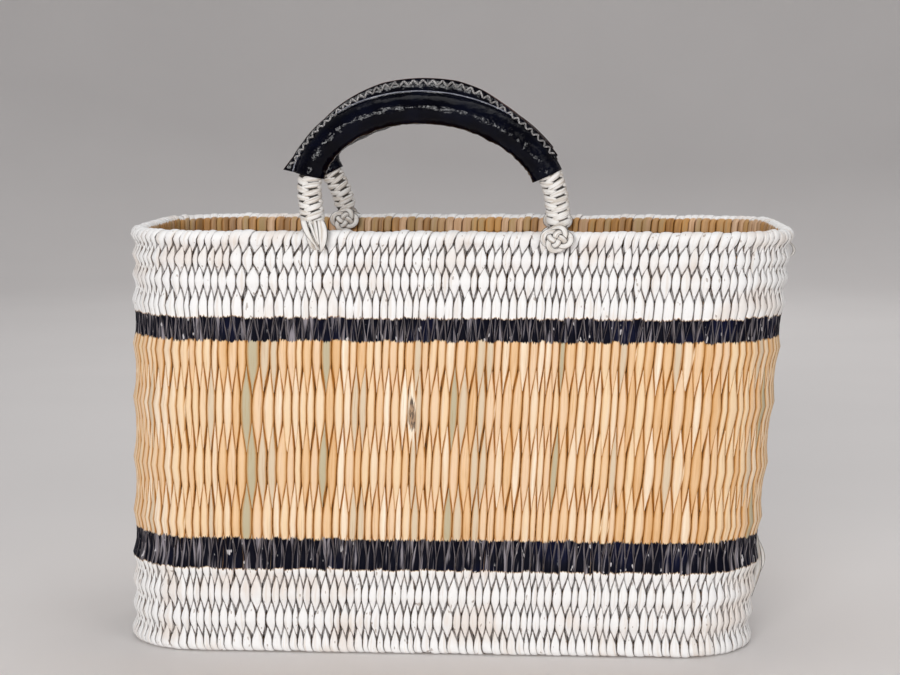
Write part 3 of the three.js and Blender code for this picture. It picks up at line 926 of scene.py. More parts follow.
@dataclass(frozen=True)
class LeatherFinish:
    """Glossy navy leather with crinkled grain, pale raw edges and a painted highlight along the fold of the
    flap.
    """

    name: str
    skin: Colour = srgb(1, 1, 8)
    bloom: Colour = srgb(3, 5, 20)
    raw: Colour = srgb(112, 78, 68)
    # Colour of the painted highlight along the fold where the flap leaves the sleeve.
    lip: Colour = srgb(150, 152, 164)

    def material(self) -> Material:
        """Builds the material on object coordinates and the attributes of the cut edge and the painted
        highlight along the fold.

        Returns:
            The material.
        """
        made, sketch, surface = new_material(self.name)
        place = sketch.place()
        crinkle = sketch.noise(place, 210.0, 2.0)
        pores = sketch.noise(place, 1500.0, 1.0)
        patch = sketch.noise(place, 60.0, 2.0)
        colour = sketch.tone(sketch.span(patch, 0.4, 0.7), self.skin, self.bloom)
        colour = sketch.tone(sketch.span(sketch.attribute("raw_edge"), 0.45, 0.75), colour, self.raw)
        # Painted highlight along the fold where the flap leaves the sleeve.
        lit = sketch.span(sketch.attribute("lip"), 0.5, 0.95, 0.0, 0.7)
        colour = sketch.tone(lit, colour, self.lip)
        relief = sketch.plus(crinkle, sketch.times(pores, 0.12))
        coat(sketch, surface, colour, sketch.span(patch, 0.35, 0.7, 0.1, 0.16), relief, (0.55, 1.2 * MM))
        surface.inputs["Specular IOR Level"].default_value = 0.13
        return made


@dataclass(frozen=True)
class ThreadFinish:
    """Waxed sewing thread with fine light and dark spots."""

    name: str
    pale: Colour = srgb(200, 197, 196)
    dark: Colour = srgb(82, 78, 77)

    def material(self) -> Material:
        """Builds the material on object coordinates.

        Returns:
            The material.
        """
        made, sketch, surface = new_material(self.name)
        place = sketch.place()
        grain = sketch.noise(place, 1800.0, 1.0)
        soil = sketch.noise(place, 90.0, 2.0)
        share = sketch.times(sketch.span(grain, 0.35, 0.65), sketch.span(soil, 0.3, 0.6, 0.5, 1.0))
        colour = sketch.tone(share, self.dark, self.pale)
        coat(sketch, surface, colour, sketch.span(grain, 0.3, 0.7, 0.6, 0.8), grain, (0.4, 0.2 * MM))
        return made


@dataclass
class Outline:
    """Rounded outline of the wall's middle surface at one height."""

    left: float
    right: float
    depth: float
    radius: float
    height: float
    corner_steps: int = 20

    def points(self) -> list[Triple]:
        """Goes once round, anticlockwise seen from above, from the middle of the back.

        Returns:
            The points of the outline.
        """
        path: list[Triple] = [
            ((self.right - self.left) / 2.0, self.depth, self.height)
        ]
        corners = (
            (-self.left + self.radius, self.depth - self.radius, 90.0),
            (-self.left + self.radius, -self.depth + self.radius, 180.0),
            (self.right - self.radius, -self.depth + self.radius, 270.0),
            (self.right - self.radius, self.depth - self.radius, 360.0),
        )
        for x, y, start in corners:
            for step in range(self.corner_steps + 1):
                turn = math.radians(start + 90.0 * step / self.corner_steps)
                along = x + self.radius * math.cos(turn)
                path.append((along, y + self.radius * math.sin(turn), self.height))
        return path

    def length(self) -> float:
        """Length once round."""
        straight = 2.0 * (self.left + self.right - 2.0 * self.radius) + 4.0 * (self.depth - self.radius)
        return straight + TAU * self.radius

    def end_shares(self) -> Pair:
        """Finds the left end with its corners.

        Returns:
            Shares of the way round where it begins and stops.
        """
        half_back = (self.left + self.right) / 2.0 - self.radius
        end = math.pi * self.radius + 2.0 * (self.depth - self.radius)
        return half_back / self.length(), (half_back + end) / self.length()


@dataclass
class WallShape:
    """Middle surface of the wall, ruled between the outline on the floor and the one at the rim's top."""

    rows: list[float]
    height: float
    foot: Outline
    top: Outline

    @classmethod
    def from_frame(
        cls,
        cord_radius: float = 1.8 * MM,
        foot_corner: float = 45.4 * MM,
        top_corner: float = 53.4 * MM,
    ) -> "WallShape":
        """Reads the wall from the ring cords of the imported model.

        Args:
            cord_radius: Radius of the ring cords.
            foot_corner: Radius of the corners on the floor.
            top_corner: Radius of the corners at the rim's top.

        Returns:
            The wall's shape.
        """
        names = [f"course_cord_{k:02d}" for k in range(1, 12)] + ["rim_cord"]
        boxes = [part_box(name) for name in names]
        rows = [(low.z + high.z) / 2.0 for low, high in boxes]
        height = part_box("rim_binding")[1].z
        ends = [boxes[0], boxes[-1]]
        left = [-low.x - cord_radius for low, _ in ends]
        right = [high.x - cord_radius for _, high in ends]
        depth = [high.y - cord_radius for _, high in ends]

        def at(values: list[float], z: float) -> float:
            """Value at a height, on the line through the foot and rim cords."""
            return values[0] + (values[1] - values[0]) * (z - rows[0]) / (rows[-1] - rows[0])

        foot = Outline(at(left, 0.0), at(right, 0.0), at(depth, 0.0), foot_corner, 0.0)
        top = Outline(at(left, height), at(right, height), at(depth, height), top_corner, height)
        return cls(rows, height, foot, top)

    def outline_at(self, z: float) -> Outline:
        """Cuts the wall's middle surface at a height.

        Args:
            z: Height over the floor.

        Returns:
            The outline there.
        """
        share = z / self.height
        low, high = self.foot, self.top
        sizes = [
            getattr(low, key) + (getattr(high, key) - getattr(low, key)) * share
            for key in ("left", "right", "depth", "radius")
        ]
        return Outline(*sizes, z)

    def face(self, x: float, z: float, lift: float, front: int) -> Vector:
        """Point over the front (1) or back (-1) wall, at a lift outwards from its middle."""
        return Vector((x, -front * (self.outline_at(z).depth + lift), z))


class ReedPart(Enum):
    """Kinds of length that a reed is made of."""

    CELL = 0
    RIM_TURN = 1
    RIM_TUCK = 2
    FOOT_TURN = 3
    FOOT_TUCK = 4


@dataclass
class ReedShapes:
    """The few-faced shapes that every reed is put together from."""

    row_thickness: float = 0.9 * MM
    crossing_thickness: float = 0.95 * MM
    level: float = 1.05 * MM
    passing: float = 0.2 * MM
    tip_width: float = 0.04
    back_width: float = 1.66
    # Extra depth on a reed's back side between the rows, which the finish paints as shade.
    back_shade: float = 1.5 * MM
    turn_spread: float = 0.14
    phases: tuple[float, ...] = (0.0, 0.2, 0.3, 0.45, 0.55, 0.7, 0.8, 1.0)
    section: tuple[Pair, ...] = (
        (-1.0, 0.0), (-0.8, 0.58), (-0.36, 0.95), (0.36, 0.95),
        (0.8, 0.58), (1.0, 0.0), (0.62, -0.9), (-0.62, -0.9),
    )
    merge_distance: float = 5e-6

    KEPT = ("reed_lift", "sink", "reed_seed", "reed_tint", "across")
    OWN_INPUTS = (
        "Row Thickness", "Crossing Thickness", "Level", "Passing", "Tip Width", "Back Width", "Back Shade",
    )

    def inputs(
        self,
        span: float,
        length: float,
        wander: float,
        finish: Material,
    ) -> dict[str, object]:
        """Values of the tree's plain inputs.

        Args:
            span: Distance between the two edges, along the rise.
            length: Length of the lower edge.
            wander: How far the reeds sway sideways.
            finish: Material of the reeds.

        Returns:
            The values by the names of the inputs.
        """
        own = {label: getattr(self, label.lower().replace(" ", "_")) for label in self.OWN_INPUTS}
        return {"Rise Span": span, "Edge Length": length, "Wander": wander, "Finish": finish, **own}

    def cell(self) -> Object:
        """One length from a row to the next.

        Returns:
            The shape, with across, thickness and phase as plain coordinates.
        """
        rings = [np.array([(u, v, phase) for u, v in self.section]) for phase in self.phases]
        points, faces = loft(rings, cap_start=False, cap_end=False)
        values = {"across": points[:, 0], "slide": np.zeros(len(points))}
        return mesh_object("reed_cell", points, faces, values)

    def end(self, name: str, path: Sequence[tuple[float, ...]], down: bool) -> Object:
        """One end of a reed beyond its last row.

        Args:
            name: Name of the shape.
            path: For each ring its lift and rise from the row, direction of its outer face in degrees,
                width share, thickness share and sideways slide.
            down: Whether the end runs downwards from its row.

        Returns:
            The shape, closed at its far end.
        """
        rings = []
        slides = []
        for lift, rise, facing, width, thickness, slide in path:
            turn = math.radians(facing)
            reach = thickness * self.row_thickness
            ring = [
                (u * width, lift + v * reach * math.cos(turn), rise + v * reach * math.sin(turn))
                for u, v in self.section
            ]
            rings.append(np.array(ring))
            slides += [slide] * len(self.section)
        points, faces = loft(rings, cap_start=False, turned=down)
        across = np.tile([u for u, _ in self.section], len(rings))
        return mesh_object(name, points, faces, {"across": across, "slide": np.array(slides)})

    def turn(
        self,
        name: str,
        radius: float,
        angles: Sequence[float],
        slant: float,
        tail: float,
        squareness: float = 1.0,
    ) -> Object:
        """A reed end bent round the rim cord or the foot cord.

        Args:
            name: Name of the shape.
            radius: Radius of the bend at the middle of the reed.
            angles: Degrees round the bend from the outside; negative ones go under.
            slant: Sideways slide for each metre along the bend.
            tail: Straight length after the bend.
            squareness: Power that swells the bend out to its corner; 1 is a round bend.

        Returns:
            The shape.
        """
        path = []
        for degrees in angles:
            turn = math.radians(degrees)
            slide = slant * radius * abs(turn)
            width = 1.0 + self.turn_spread * abs(math.sin(turn))
            level = math.copysign(abs(math.cos(turn)) ** squareness, math.cos(turn))
            rise = math.copysign(abs(math.sin(turn)) ** squareness, math.sin(turn))
            path.append((radius * (level - 1.0), radius * rise, degrees, width, 1.0, slide))
        lift, rise, facing, _, _, slide = path[-1]
        turn = math.radians(facing)
        sign = 1.0 if facing > 0 else -1.0
        for share, width in ((0.7, 1.0), (1.0, 0.7)):
            step = tail * share
            end = (lift - sign * step * math.sin(turn), rise + sign * step * math.cos(turn))
            path.append((*end, facing, width, width, slide))
        return self.end(name, path, down=angles[-1] < 0)

    def tuck(self, name: str, down: bool) -> Object:
        """A short end cut off just past its row.

        Args:
            name: Name of the shape.
            down: Whether the end runs downwards from its row.

        Returns:
            The shape.
        """
        sign = -1.0 if down else 1.0
        path = [
            (0.0, 0.0, 0.0, 1.0, 1.0, 0.0),
            (0.2 * MM, sign * 1.4 * MM, 0.0, 0.9, 0.9, 0.0),
            (0.3 * MM, sign * 2.0 * MM, 0.0, 0.6, 0.5, 0.0),
        ]
        return self.end(name, path, down)

    def tree(self) -> bpy.types.GeometryNodeTree:
        """Geometry Nodes tree that lays the shapes on the ruled surface between two edges.

        Returns:
            The tree. Its points carry the place, width, rise and lift at both ends of each length.
        """
        parts = {part: part.name.replace("_", " ").title() for part in ReedPart}
        sketch, given = geometry_tree(
            "woven_reeds",
            (*parts.values(), "Lower Edge", "Upper Edge"),
            ("Rise Span", "Edge Length", "Wander", *self.OWN_INPUTS),
        )
        position = sketch.node("GeometryNodeInputPosition").outputs[0]
        kind = sketch.named("kind")
        laid = []
        for part, label in parts.items():
            values = {"A": kind, "B": float(part.value), "Epsilon": 0.1}
            chosen = sketch.node("FunctionNodeCompare", values, data_type="FLOAT", operation="EQUAL")
            copies = sketch.node(
                "GeometryNodeInstanceOnPoints",
                {
                    "Points": given["Geometry"],
                    "Selection": chosen.outputs[0],
                    "Instance": sketch.shape_of(given[label]),
                },
            )
            real = sketch.node("GeometryNodeRealizeInstances", {"Geometry": copies.outputs[0]}).outputs[0]
            if part is ReedPart.CELL:
                target, sink = self.cell_target(sketch, given, position)
                real = sketch.store(real, "sink", sink, "CORNER")
            else:
                target = self.end_target(sketch, given, position)
            moved = sketch.node("GeometryNodeSetPosition", {"Geometry": real, "Position": target})
            laid.append(moved.outputs[0])
        joined = sketch.node("GeometryNodeJoinGeometry")
        for geometry in laid:
            sketch.feed(joined.inputs[0], geometry)
        share, lift, rise = sketch.separate(position)
        marked = sketch.store(joined.outputs[0], "reed_lift", lift, "POINT")
        target = self.surface_point(sketch, given, share, lift, rise)
        placed = sketch.node("GeometryNodeSetPosition", {"Geometry": marked, "Position": target})
        merged = sketch.node(
            "GeometryNodeMergeByDistance", {"Geometry": placed.outputs[0], "Distance": self.merge_distance}
        )
        return close_tree(sketch, merged.outputs[0], given["Finish"])

    @staticmethod
    def cell_target(
        sketch: NodeSketch,
        given: Outputs,
        position: Socket,
    ) -> tuple[Socket, Socket]:
        """Place of a point of a cell, which tapers and dives from one row to the next.

        Args:
            sketch: Sketch of the tree.
            given: Outputs of the tree's Group Input.
            position: Position of the point in the plain cell.

        Returns:
            Share, lift and rise as a vector, and how far the reed lies under the level between the rows,
            deepened on its back side, which the finish paints as shade; that depth is the mark of an inner
            face where the face looks into the basket.
        """
        across, thick, phase = sketch.separate(position)
        wave = sketch.math("COSINE", sketch.times(phase, math.pi))
        size = sketch.math("ABSOLUTE", wave)
        from_outside = sketch.span(sketch.named("lift_low"), -0.1 * MM, 0.1 * MM)
        gone = sketch.mix(from_outside, sketch.minus(1.0, phase), phase)
        tip = sketch.named("taper_to")
        closing = sketch.span(gone, sketch.named("taper_from"), tip, 1.0, given["Tip Width"])
        opening = sketch.span(gone, tip, 0.97, given["Tip Width"], 1.0)
        narrow = sketch.math("MAXIMUM", closing, opening)
        hold = sketch.named("hold")
        near = sketch.math("POWER", sketch.math("MAXIMUM", wave, 0.0), hold)
        far = sketch.math("POWER", sketch.math("MAXIMUM", sketch.times(wave, -1.0), 0.0), hold)
        free = sketch.minus(1.0, sketch.plus(near, far))
        back_side = sketch.span(thick, -0.6, -0.3, 1.0, 0.0)
        back_width = sketch.times(back_side, sketch.mix(free, 1.0, given["Back Width"]))
        narrow = sketch.math("MAXIMUM", narrow, back_width)
        glide = sketch.span(phase, 0.0, 1.0)
        middle = sketch.mix(glide, sketch.named("place_low"), sketch.named("place_high"))
        half = sketch.mix(glide, sketch.named("half_low"), sketch.named("half_high"))
        share = sketch.math("MULTIPLY_ADD", sketch.times(across, narrow), half, middle)
        below = sketch.times(sketch.minus(sketch.named("lift_low"), given["Level"]), near)
        above = sketch.times(sketch.minus(sketch.named("lift_high"), given["Level"]), far)
        rise_off = sketch.plus(below, above)
        side = sketch.math("DIVIDE", wave, sketch.plus(size, 0.08))
        side = sketch.times(side, sketch.math("SIGN", sketch.named("lift_low")))
        beside = sketch.times(sketch.times(side, free), given["Passing"])
        reach = sketch.mix(size, given["Crossing Thickness"], given["Row Thickness"])
        lift = sketch.plus(sketch.plus(given["Level"], rise_off), beside)
        lift = sketch.math("MULTIPLY_ADD", thick, reach, lift)
        climb = sketch.math("POWER", phase, sketch.named("skew"))
        rise = sketch.mix(climb, sketch.named("rise_low"), sketch.named("rise_high"))
        # The back side of a reed between the rows gets extra depth, so the finish paints shade in the gaps
        # beside the floats.
        hidden = sketch.times(sketch.times(back_side, free), given["Back Shade"])
        sink = sketch.minus(hidden, rise_off)
        face_depth = sketch.node(
            "GeometryNodeFieldOnDomain", {"Value": thick}, data_type="FLOAT", domain="FACE"
        ).outputs[0]
        inner_face = sketch.span(face_depth, -0.8, -0.7, 1.0, 0.0)
        return sketch.combine(share, lift, rise), sketch.mix(inner_face, sink, INNER_FACE_SINK)

    @staticmethod
    def end_target(sketch: NodeSketch, given: Outputs, position: Socket) -> Socket:
        """Place of a point of a reed's end.

        Args:
            sketch: Sketch of the tree.
            given: Outputs of the tree's Group Input.
            position: Position of the point in the plain shape.

        Returns:
            Share, lift and rise as a vector.
        """
        across, lift, rise = sketch.separate(position)
        slide = sketch.math("DIVIDE", sketch.named("slide"), given["Edge Length"])
        share = sketch.math("MULTIPLY_ADD", across, sketch.named("half_low"), sketch.named("place_low"))
        return sketch.combine(
            sketch.plus(share, slide),
            sketch.plus(lift, sketch.named("lift_low")),
            sketch.plus(rise, sketch.named("rise_low")),
        )

    @staticmethod
    def surface_point(
        sketch: NodeSketch,
        given: Outputs,
        share: Socket,
        lift: Socket,
        rise: Socket,
    ) -> Socket:
        """Point in space on or off the ruled surface.

        Args:
            sketch: Sketch of the tree.
            given: Outputs of the tree's Group Input.
            share: Share of the way along the edges.
            lift: Distance off the surface.
            rise: Distance from the lower edge.

        Returns:
            The point.
        """
        spot = sketch.combine(sketch.named("reed_seed"), sketch.times(rise, 28.0), 0.0)
        sway = sketch.times(sketch.minus(sketch.noise(spot, 1.0, 1.0), 0.5), given["Wander"])
        swayed = sketch.plus(share, sketch.math("DIVIDE", sway, given["Edge Length"]))
        factor = sketch.math("FRACT", swayed)
        ends = []
        for label in ("Lower Edge", "Upper Edge"):
            inputs = {"Curves": sketch.shape_of(given[label]), "Factor": factor}
            sample = sketch.node("GeometryNodeSampleCurve", inputs, mode="FACTOR", use_all_curves=True)
            ends.append(sample.outputs)
        up = sketch.math("DIVIDE", rise, given["Rise Span"])
        point = sketch.vector("SUBTRACT", ends[1]["Position"], ends[0]["Position"])
        tangent = sketch.vector("ADD", ends[0]["Tangent"], ends[1]["Tangent"])
        normal = sketch.vector("NORMALIZE", sketch.vector("CROSS_PRODUCT", tangent, point))
        point = sketch.vector("ADD", ends[0]["Position"], sketch.scaled(point, up))
        return sketch.vector("ADD", point, sketch.scaled(normal, lift))


@dataclass
class ReedTable:
    """Points for the weave tree: one for each length of each reed."""

    columns: tuple[str, ...] = (
        "kind", "place_low", "place_high", "half_low", "half_high", "rise_low", "rise_high",
        "lift_low", "lift_high", "taper_from", "taper_to", "hold", "skew", "reed_seed", "reed_tint",
    )
    rows: list[tuple[float, ...]] = field(default_factory=list)

    def add(
        self,
        part: ReedPart,
        low: dict[str, float],
        high: Optional[dict[str, float]] = None,
        **values: float,
    ) -> None:
        """Adds one length, with the columns that aren't given at 0.

        Args:
            part: Kind of length.
            low: Place, half width, rise and lift at its lower or only end.
            high: The same at its upper end.
            **values: Further columns.
        """
        for suffix, stop in (("low", low), ("high", high or {})):
            values.update({f"{key}_{suffix}": value for key, value in stop.items()})
        self.rows.append((float(part.value), *(values.get(c, 0.0) for c in self.columns[1:])))

    def carrier(self, name: str) -> Object:
        """Puts the table on loose points at the origin.

        Args:
            name: Name of the object.

        Returns:
            The points.
        """
        table = np.array(self.rows)
        values = {column: table[:, k] for k, column in enumerate(self.columns)}
        return mesh_object(name, np.zeros((len(table), 3)), (), values)


@dataclass
class WovenWall:
    """Upright reeds in plain weave over the ring cords, folded over the rim and turned under at the foot."""

    shape: WallShape
    pairs: int = 202
    seed: int = 11
    fill: float = 1.02
    green_share: float = 0.045
    grey_share: float = 0.1
    outer_lift_white: float = 3.5 * MM
    outer_lift_natural: float = 3.05 * MM
    inner_lift: float = 2.95 * MM
    rim_lift: float = 4.4 * MM
    foot_lift: float = 4.3 * MM
    end_jitter: float = 0.35 * MM
    rim_slide: float = 1.5 * MM
    foot_slide: float = 1.2 * MM
    wander: float = 1.1 * MM
    slant: float = 0.32
    rim_bend: tuple[float, ...] = (0, 30, 60, 90, 120, 150, 180)
    rim_tail: float = 8.5 * MM
    foot_bend: tuple[float, ...] = (0, -25, -50, -70, -90)
    foot_tail: float = 3.4 * MM
    foot_squareness: float = 0.75
    row_jitter: float = 0.45 * MM
    white_gap: float = 17.0 * MM
    natural_gap: float = 26.0 * MM
    short_cell: float = 15.0 * MM
    long_cell: float = 28.0 * MM

    SIDES = {
        "woven_front": ("front_reeds_1", "front_reeds_2", "front_reeds_3"),
        "woven_back": ("back_reeds_1", "back_reeds_2", "back_reeds_3"),
        "woven_left_end": ("left_reeds", "front_left_corner_reeds", "back_left_corner_reeds"),
        "woven_right_end": ("right_reeds", "front_right_corner_reeds", "back_right_corner_reeds"),
    }
    ROUND = ("rim_binding", "upper_white_paint", "upper_navy_paint", "lower_navy_paint", "lower_white_paint")

    def build(self, shapes: ReedShapes, finish: Material) -> list[Object]:
        """Grows the four stretches of wall and dresses them.

        Args:
            shapes: Shapes that the reeds are put together from.
            finish: Material of the reeds.

        Returns:
            The four pieces.
        """
        rim = (self.rim_lift, self.rim_bend, self.slant, self.rim_tail)
        foot = (self.foot_lift, self.foot_bend, self.slant, self.foot_tail, self.foot_squareness)
        helpers = {
            "Cell": shapes.cell(),
            "Rim Turn": shapes.turn("rim_turn", *rim),
            "Rim Tuck": shapes.tuck("rim_tuck", down=False),
            "Foot Turn": shapes.turn("foot_turn", *foot),
            "Foot Tuck": shapes.tuck("foot_tuck", down=True),
            "Lower Edge": path_object("foot_outline", [self.shape.foot.points()], cyclic=True),
            "Upper Edge": path_object("top_outline", [self.shape.top.points()], cyclic=True),
        }
        tree = shapes.tree()
        sizes = shapes.inputs(self.shape.height, self.shape.foot.length(), self.wander, finish)
        pieces = []
        for name, table in self.tables().items():
            piece = grow(name, table.carrier(f"{name}_points"), tree, {**helpers, **sizes}, shapes.KEPT)
            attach(piece, "basket")
            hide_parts(*self.SIDES[name], *self.ROUND)
            pieces.append(piece)
        discard(*helpers.values())
        return pieces

    def places(self, rng: np.random.Generator) -> tuple[np.ndarray, np.ndarray, np.ndarray]:
        """Middles of the reeds round the wall, and their tints and seeds.

        Args:
            rng: Source of the reeds' irregular widths.

        Returns:
            Share of the way round, tint and seed of each reed.
        """
        count = 2 * self.pairs
        weights = np.clip(rng.normal(1.0, 0.2, count), 0.5, 1.6)
        green = rng.random(count) < self.green_share
        weights[green] *= 1.35
        edges = np.concatenate([[0.0], np.cumsum(weights)]) / weights.sum()
        tint = rng.uniform(0.08, 0.92, count)
        tint[rng.random(count) < self.grey_share] = GREY_TINT
        tint[green] = GREEN_TINT
        return (edges[:-1] + edges[1:]) / 2.0, tint, rng.random(count) * 10.0

    def row_spans(self, middles: np.ndarray, rng: np.random.Generator) -> tuple[np.ndarray, np.ndarray]:
        """Middle and half width of each reed on one row, where every other reed lies on the same side.

        Args:
            middles: Middles of all reeds as shares of the way round.
            rng: Source of the row's own unevenness.

        Returns:
            Middles and half widths on the row, as shares of the way round.
        """
        centre = np.empty_like(middles)
        half = np.empty_like(middles)
        spread = self.row_jitter / self.shape.foot.length()
        for parity in (0, 1):
            own = middles[parity::2]
            after = np.append(own[1:], own[0] + 1.0)
            stop = (own + after) / 2.0 + rng.normal(0.0, spread, len(own))
            start = np.append(stop[-1] - 1.0, stop[:-1])
            centre[parity::2] = (start + stop) / 2.0
            half[parity::2] = (stop - start) / 2.0 * self.fill
        return centre, half

    def lift(self, row: int, outside: bool) -> float:
        """How far a reed stands off the wall's middle on a row.

        Args:
            row: Number of the row, from the foot.
            outside: Whether the reed passes outside the cord there.

        Returns:
            The distance, negative on the inside.
        """
        rows = self.shape.rows
        if not outside:
            return -self.inner_lift
        if row == len(rows) - 1:
            return self.rim_lift
        if row == 0:
            return self.foot_lift
        gap = min(rows[row + 1] - rows[row], rows[row] - rows[row - 1])
        share = ease(gap, self.white_gap, self.natural_gap)
        return self.outer_lift_white + (self.outer_lift_natural - self.outer_lift_white) * share

    def side_of(self, share: float) -> str:
        """Finds the stretch of wall at a place.

        Args:
            share: Share of the way round.

        Returns:
            Name of the stretch.
        """
        first, second = self.shape.foot.end_shares()
        if first <= share < second:
            return "woven_left_end"
        if 1.0 - second <= share < 1.0 - first:
            return "woven_right_end"
        return "woven_front" if second <= share < 1.0 - second else "woven_back"

    def tables(self) -> dict[str, ReedTable]:
        """Lays out the lengths of all reeds.

        Returns:
            The table of each stretch of wall, by its name.
        """
        rng = np.random.default_rng(self.seed)
        middles, tint, seed = self.places(rng)
        rows = self.shape.rows
        last = len(rows) - 1
        slides = np.zeros(len(rows))
        slides[0] = self.foot_slide / self.shape.foot.length()
        slides[last] = self.rim_slide / self.shape.foot.length()
        spans = [self.row_spans(middles, rng) for _ in rows]
        tables = {name: ReedTable() for name in self.SIDES}
        skews = np.clip(rng.normal(1.0, 0.07, (len(middles), last)), 0.75, 1.3)
        levels = np.tile(rows, (len(middles), 1))
        levels[:, last] += rng.normal(0.0, self.end_jitter, len(middles))
        levels[:, 0] += np.abs(rng.normal(0.0, self.end_jitter, len(middles)))
        for reed, middle in enumerate(middles):
            table = tables[self.side_of(middle)]
            own = {"reed_seed": seed[reed], "reed_tint": tint[reed]}
            outside = [(last - row) % 2 == reed % 2 for row in range(len(rows))]
            stops = [
                {
                    "place": spans[row][0][reed] + slides[row],
                    "half": spans[row][1][reed],
                    "rise": levels[reed, row],
                    "lift": self.lift(row, outside[row]),
                }
                for row in range(len(rows))
            ]
            for row in range(last):
                stretch = ease(rows[row + 1] - rows[row], self.short_cell, self.long_cell)
                form = {
                    "taper_from": 0.08 + 0.06 * stretch,
                    "taper_to": 0.76 + 0.03 * stretch,
                    "hold": 2.4 + 3.2 * stretch,
                    "skew": skews[reed, row],
                }
                table.add(ReedPart.CELL, stops[row], stops[row + 1], **form, **own)
            table.add(ReedPart.RIM_TURN if outside[last] else ReedPart.RIM_TUCK, stops[last], **own)
            table.add(ReedPart.FOOT_TURN if outside[0] else ReedPart.FOOT_TUCK, stops[0], **own)
        return tables


@dataclass
class BaseMat:
    """Floor of the basket: reeds from front to back, woven over the straight base cords."""

    shape: WallShape
    pitch: float = 2.75 * MM
    lift: float = 2.6 * MM
    inset: float = 2.6 * MM
    end_margin: float = 1.4 * MM
    spare: float = 1.5
    wander: float = 0.8 * MM
    seed: int = 23

    NODES = ("base_reeds_left", "base_reeds_middle", "base_reeds_right")
    FORM = {"taper_from": 0.2, "taper_to": 0.74, "hold": 4.0, "skew": 1.0}

    def reach(self, x: float) -> float:
        """How far the mat reaches to the front and back.

        Args:
            x: Place along the basket.

        Returns:
            The distance from the middle.
        """
        outline = self.shape.foot
        radius = outline.radius - self.inset
        past = max(x - (outline.right - outline.radius), -x - (outline.left - outline.radius), 0.0)
        past = min(past, radius)
        return outline.depth - outline.radius + math.sqrt(radius * radius - past * past)

    def table(self, rows: list[float], depth: float) -> ReedTable:
        """Lengths of the mat's reeds.

        Args:
            rows: Places of the base cords, from front to back.
            depth: Distance of the two edges from the middle.

        Returns:
            The table for the weave tree.
        """
        rng = np.random.default_rng(self.seed)
        left = -self.shape.foot.left + self.inset
        width = self.shape.foot.right - self.inset - left
        count = int(width / self.pitch)
        table = ReedTable()
        for reed in range(count):
            share = (reed + self.spare) / (count - 1.0 + 2.0 * self.spare)
            limit = self.reach(left + share * width) - self.end_margin
            used = [k for k, y in enumerate(rows) if abs(y) < limit - 2.0 * self.end_margin]
            crossed = [(used[0] - 1, -limit), *((k, rows[k]) for k in used), (used[-1] + 1, limit)]
            half = rng.normal(0.97, 0.04, len(crossed)) / count
            place = share + rng.normal(0.0, 0.1, len(crossed)) / count
            own = {
                "reed_seed": rng.random() * 10.0,
                "reed_tint": float(np.clip(rng.normal(0.45, 0.2), 0.02, 0.98)),
            }
            stops = [
                {
                    "place": place[k],
                    "half": half[k],
                    "rise": y + depth,
                    "lift": self.lift * (1.0 if (row + reed) % 2 else -1.0),
                }
                for k, (row, y) in enumerate(crossed)
            ]
            for low, high in zip(stops, stops[1:]):
                table.add(ReedPart.CELL, low, high, **self.FORM, **own)
            table.add(ReedPart.FOOT_TUCK, stops[0], **own)
            table.add(ReedPart.RIM_TUCK, stops[-1], **own)
        return table

    def build(self, shapes: ReedShapes, finish: Material) -> Object:
        """Grows the mat with the same tree as the walls.

        Args:
            shapes: Shapes that the reeds are put together from.
            finish: Material of the reeds.

        Returns:
            The mat.
        """
        boxes = [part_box(f"base_cord_{k}") for k in range(1, 6)]
        rows = sorted((low.y + high.y) / 2.0 for low, high in boxes)
        level = (boxes[0][0].z + boxes[0][1].z) / 2.0
        outline = self.shape.foot
        depth = outline.depth - self.inset
        ends = (-outline.left + self.inset, outline.right - self.inset)
        edges = [
            path_object(name, [[(x, y, level) for x in ends]], cyclic=False)
            for name, y in (("mat_front", -depth), ("mat_back", depth))
        ]
        helpers = {
            "Cell": shapes.cell(),
            "Rim Tuck": shapes.tuck("mat_back_tuck", down=False),
            "Foot Tuck": shapes.tuck("mat_front_tuck", down=True),
            "Lower Edge": edges[0],
            "Upper Edge": edges[1],
        }
        sizes = shapes.inputs(2.0 * depth, ends[1] - ends[0], self.wander, finish)
        carrier = self.table(rows, depth).carrier("mat_points")
        piece = grow("woven_base", carrier, shapes.tree(), {**helpers, **sizes}, shapes.KEPT)
        discard(*helpers.values())
        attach(piece, "basket")
        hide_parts(*self.NODES)
        return piece


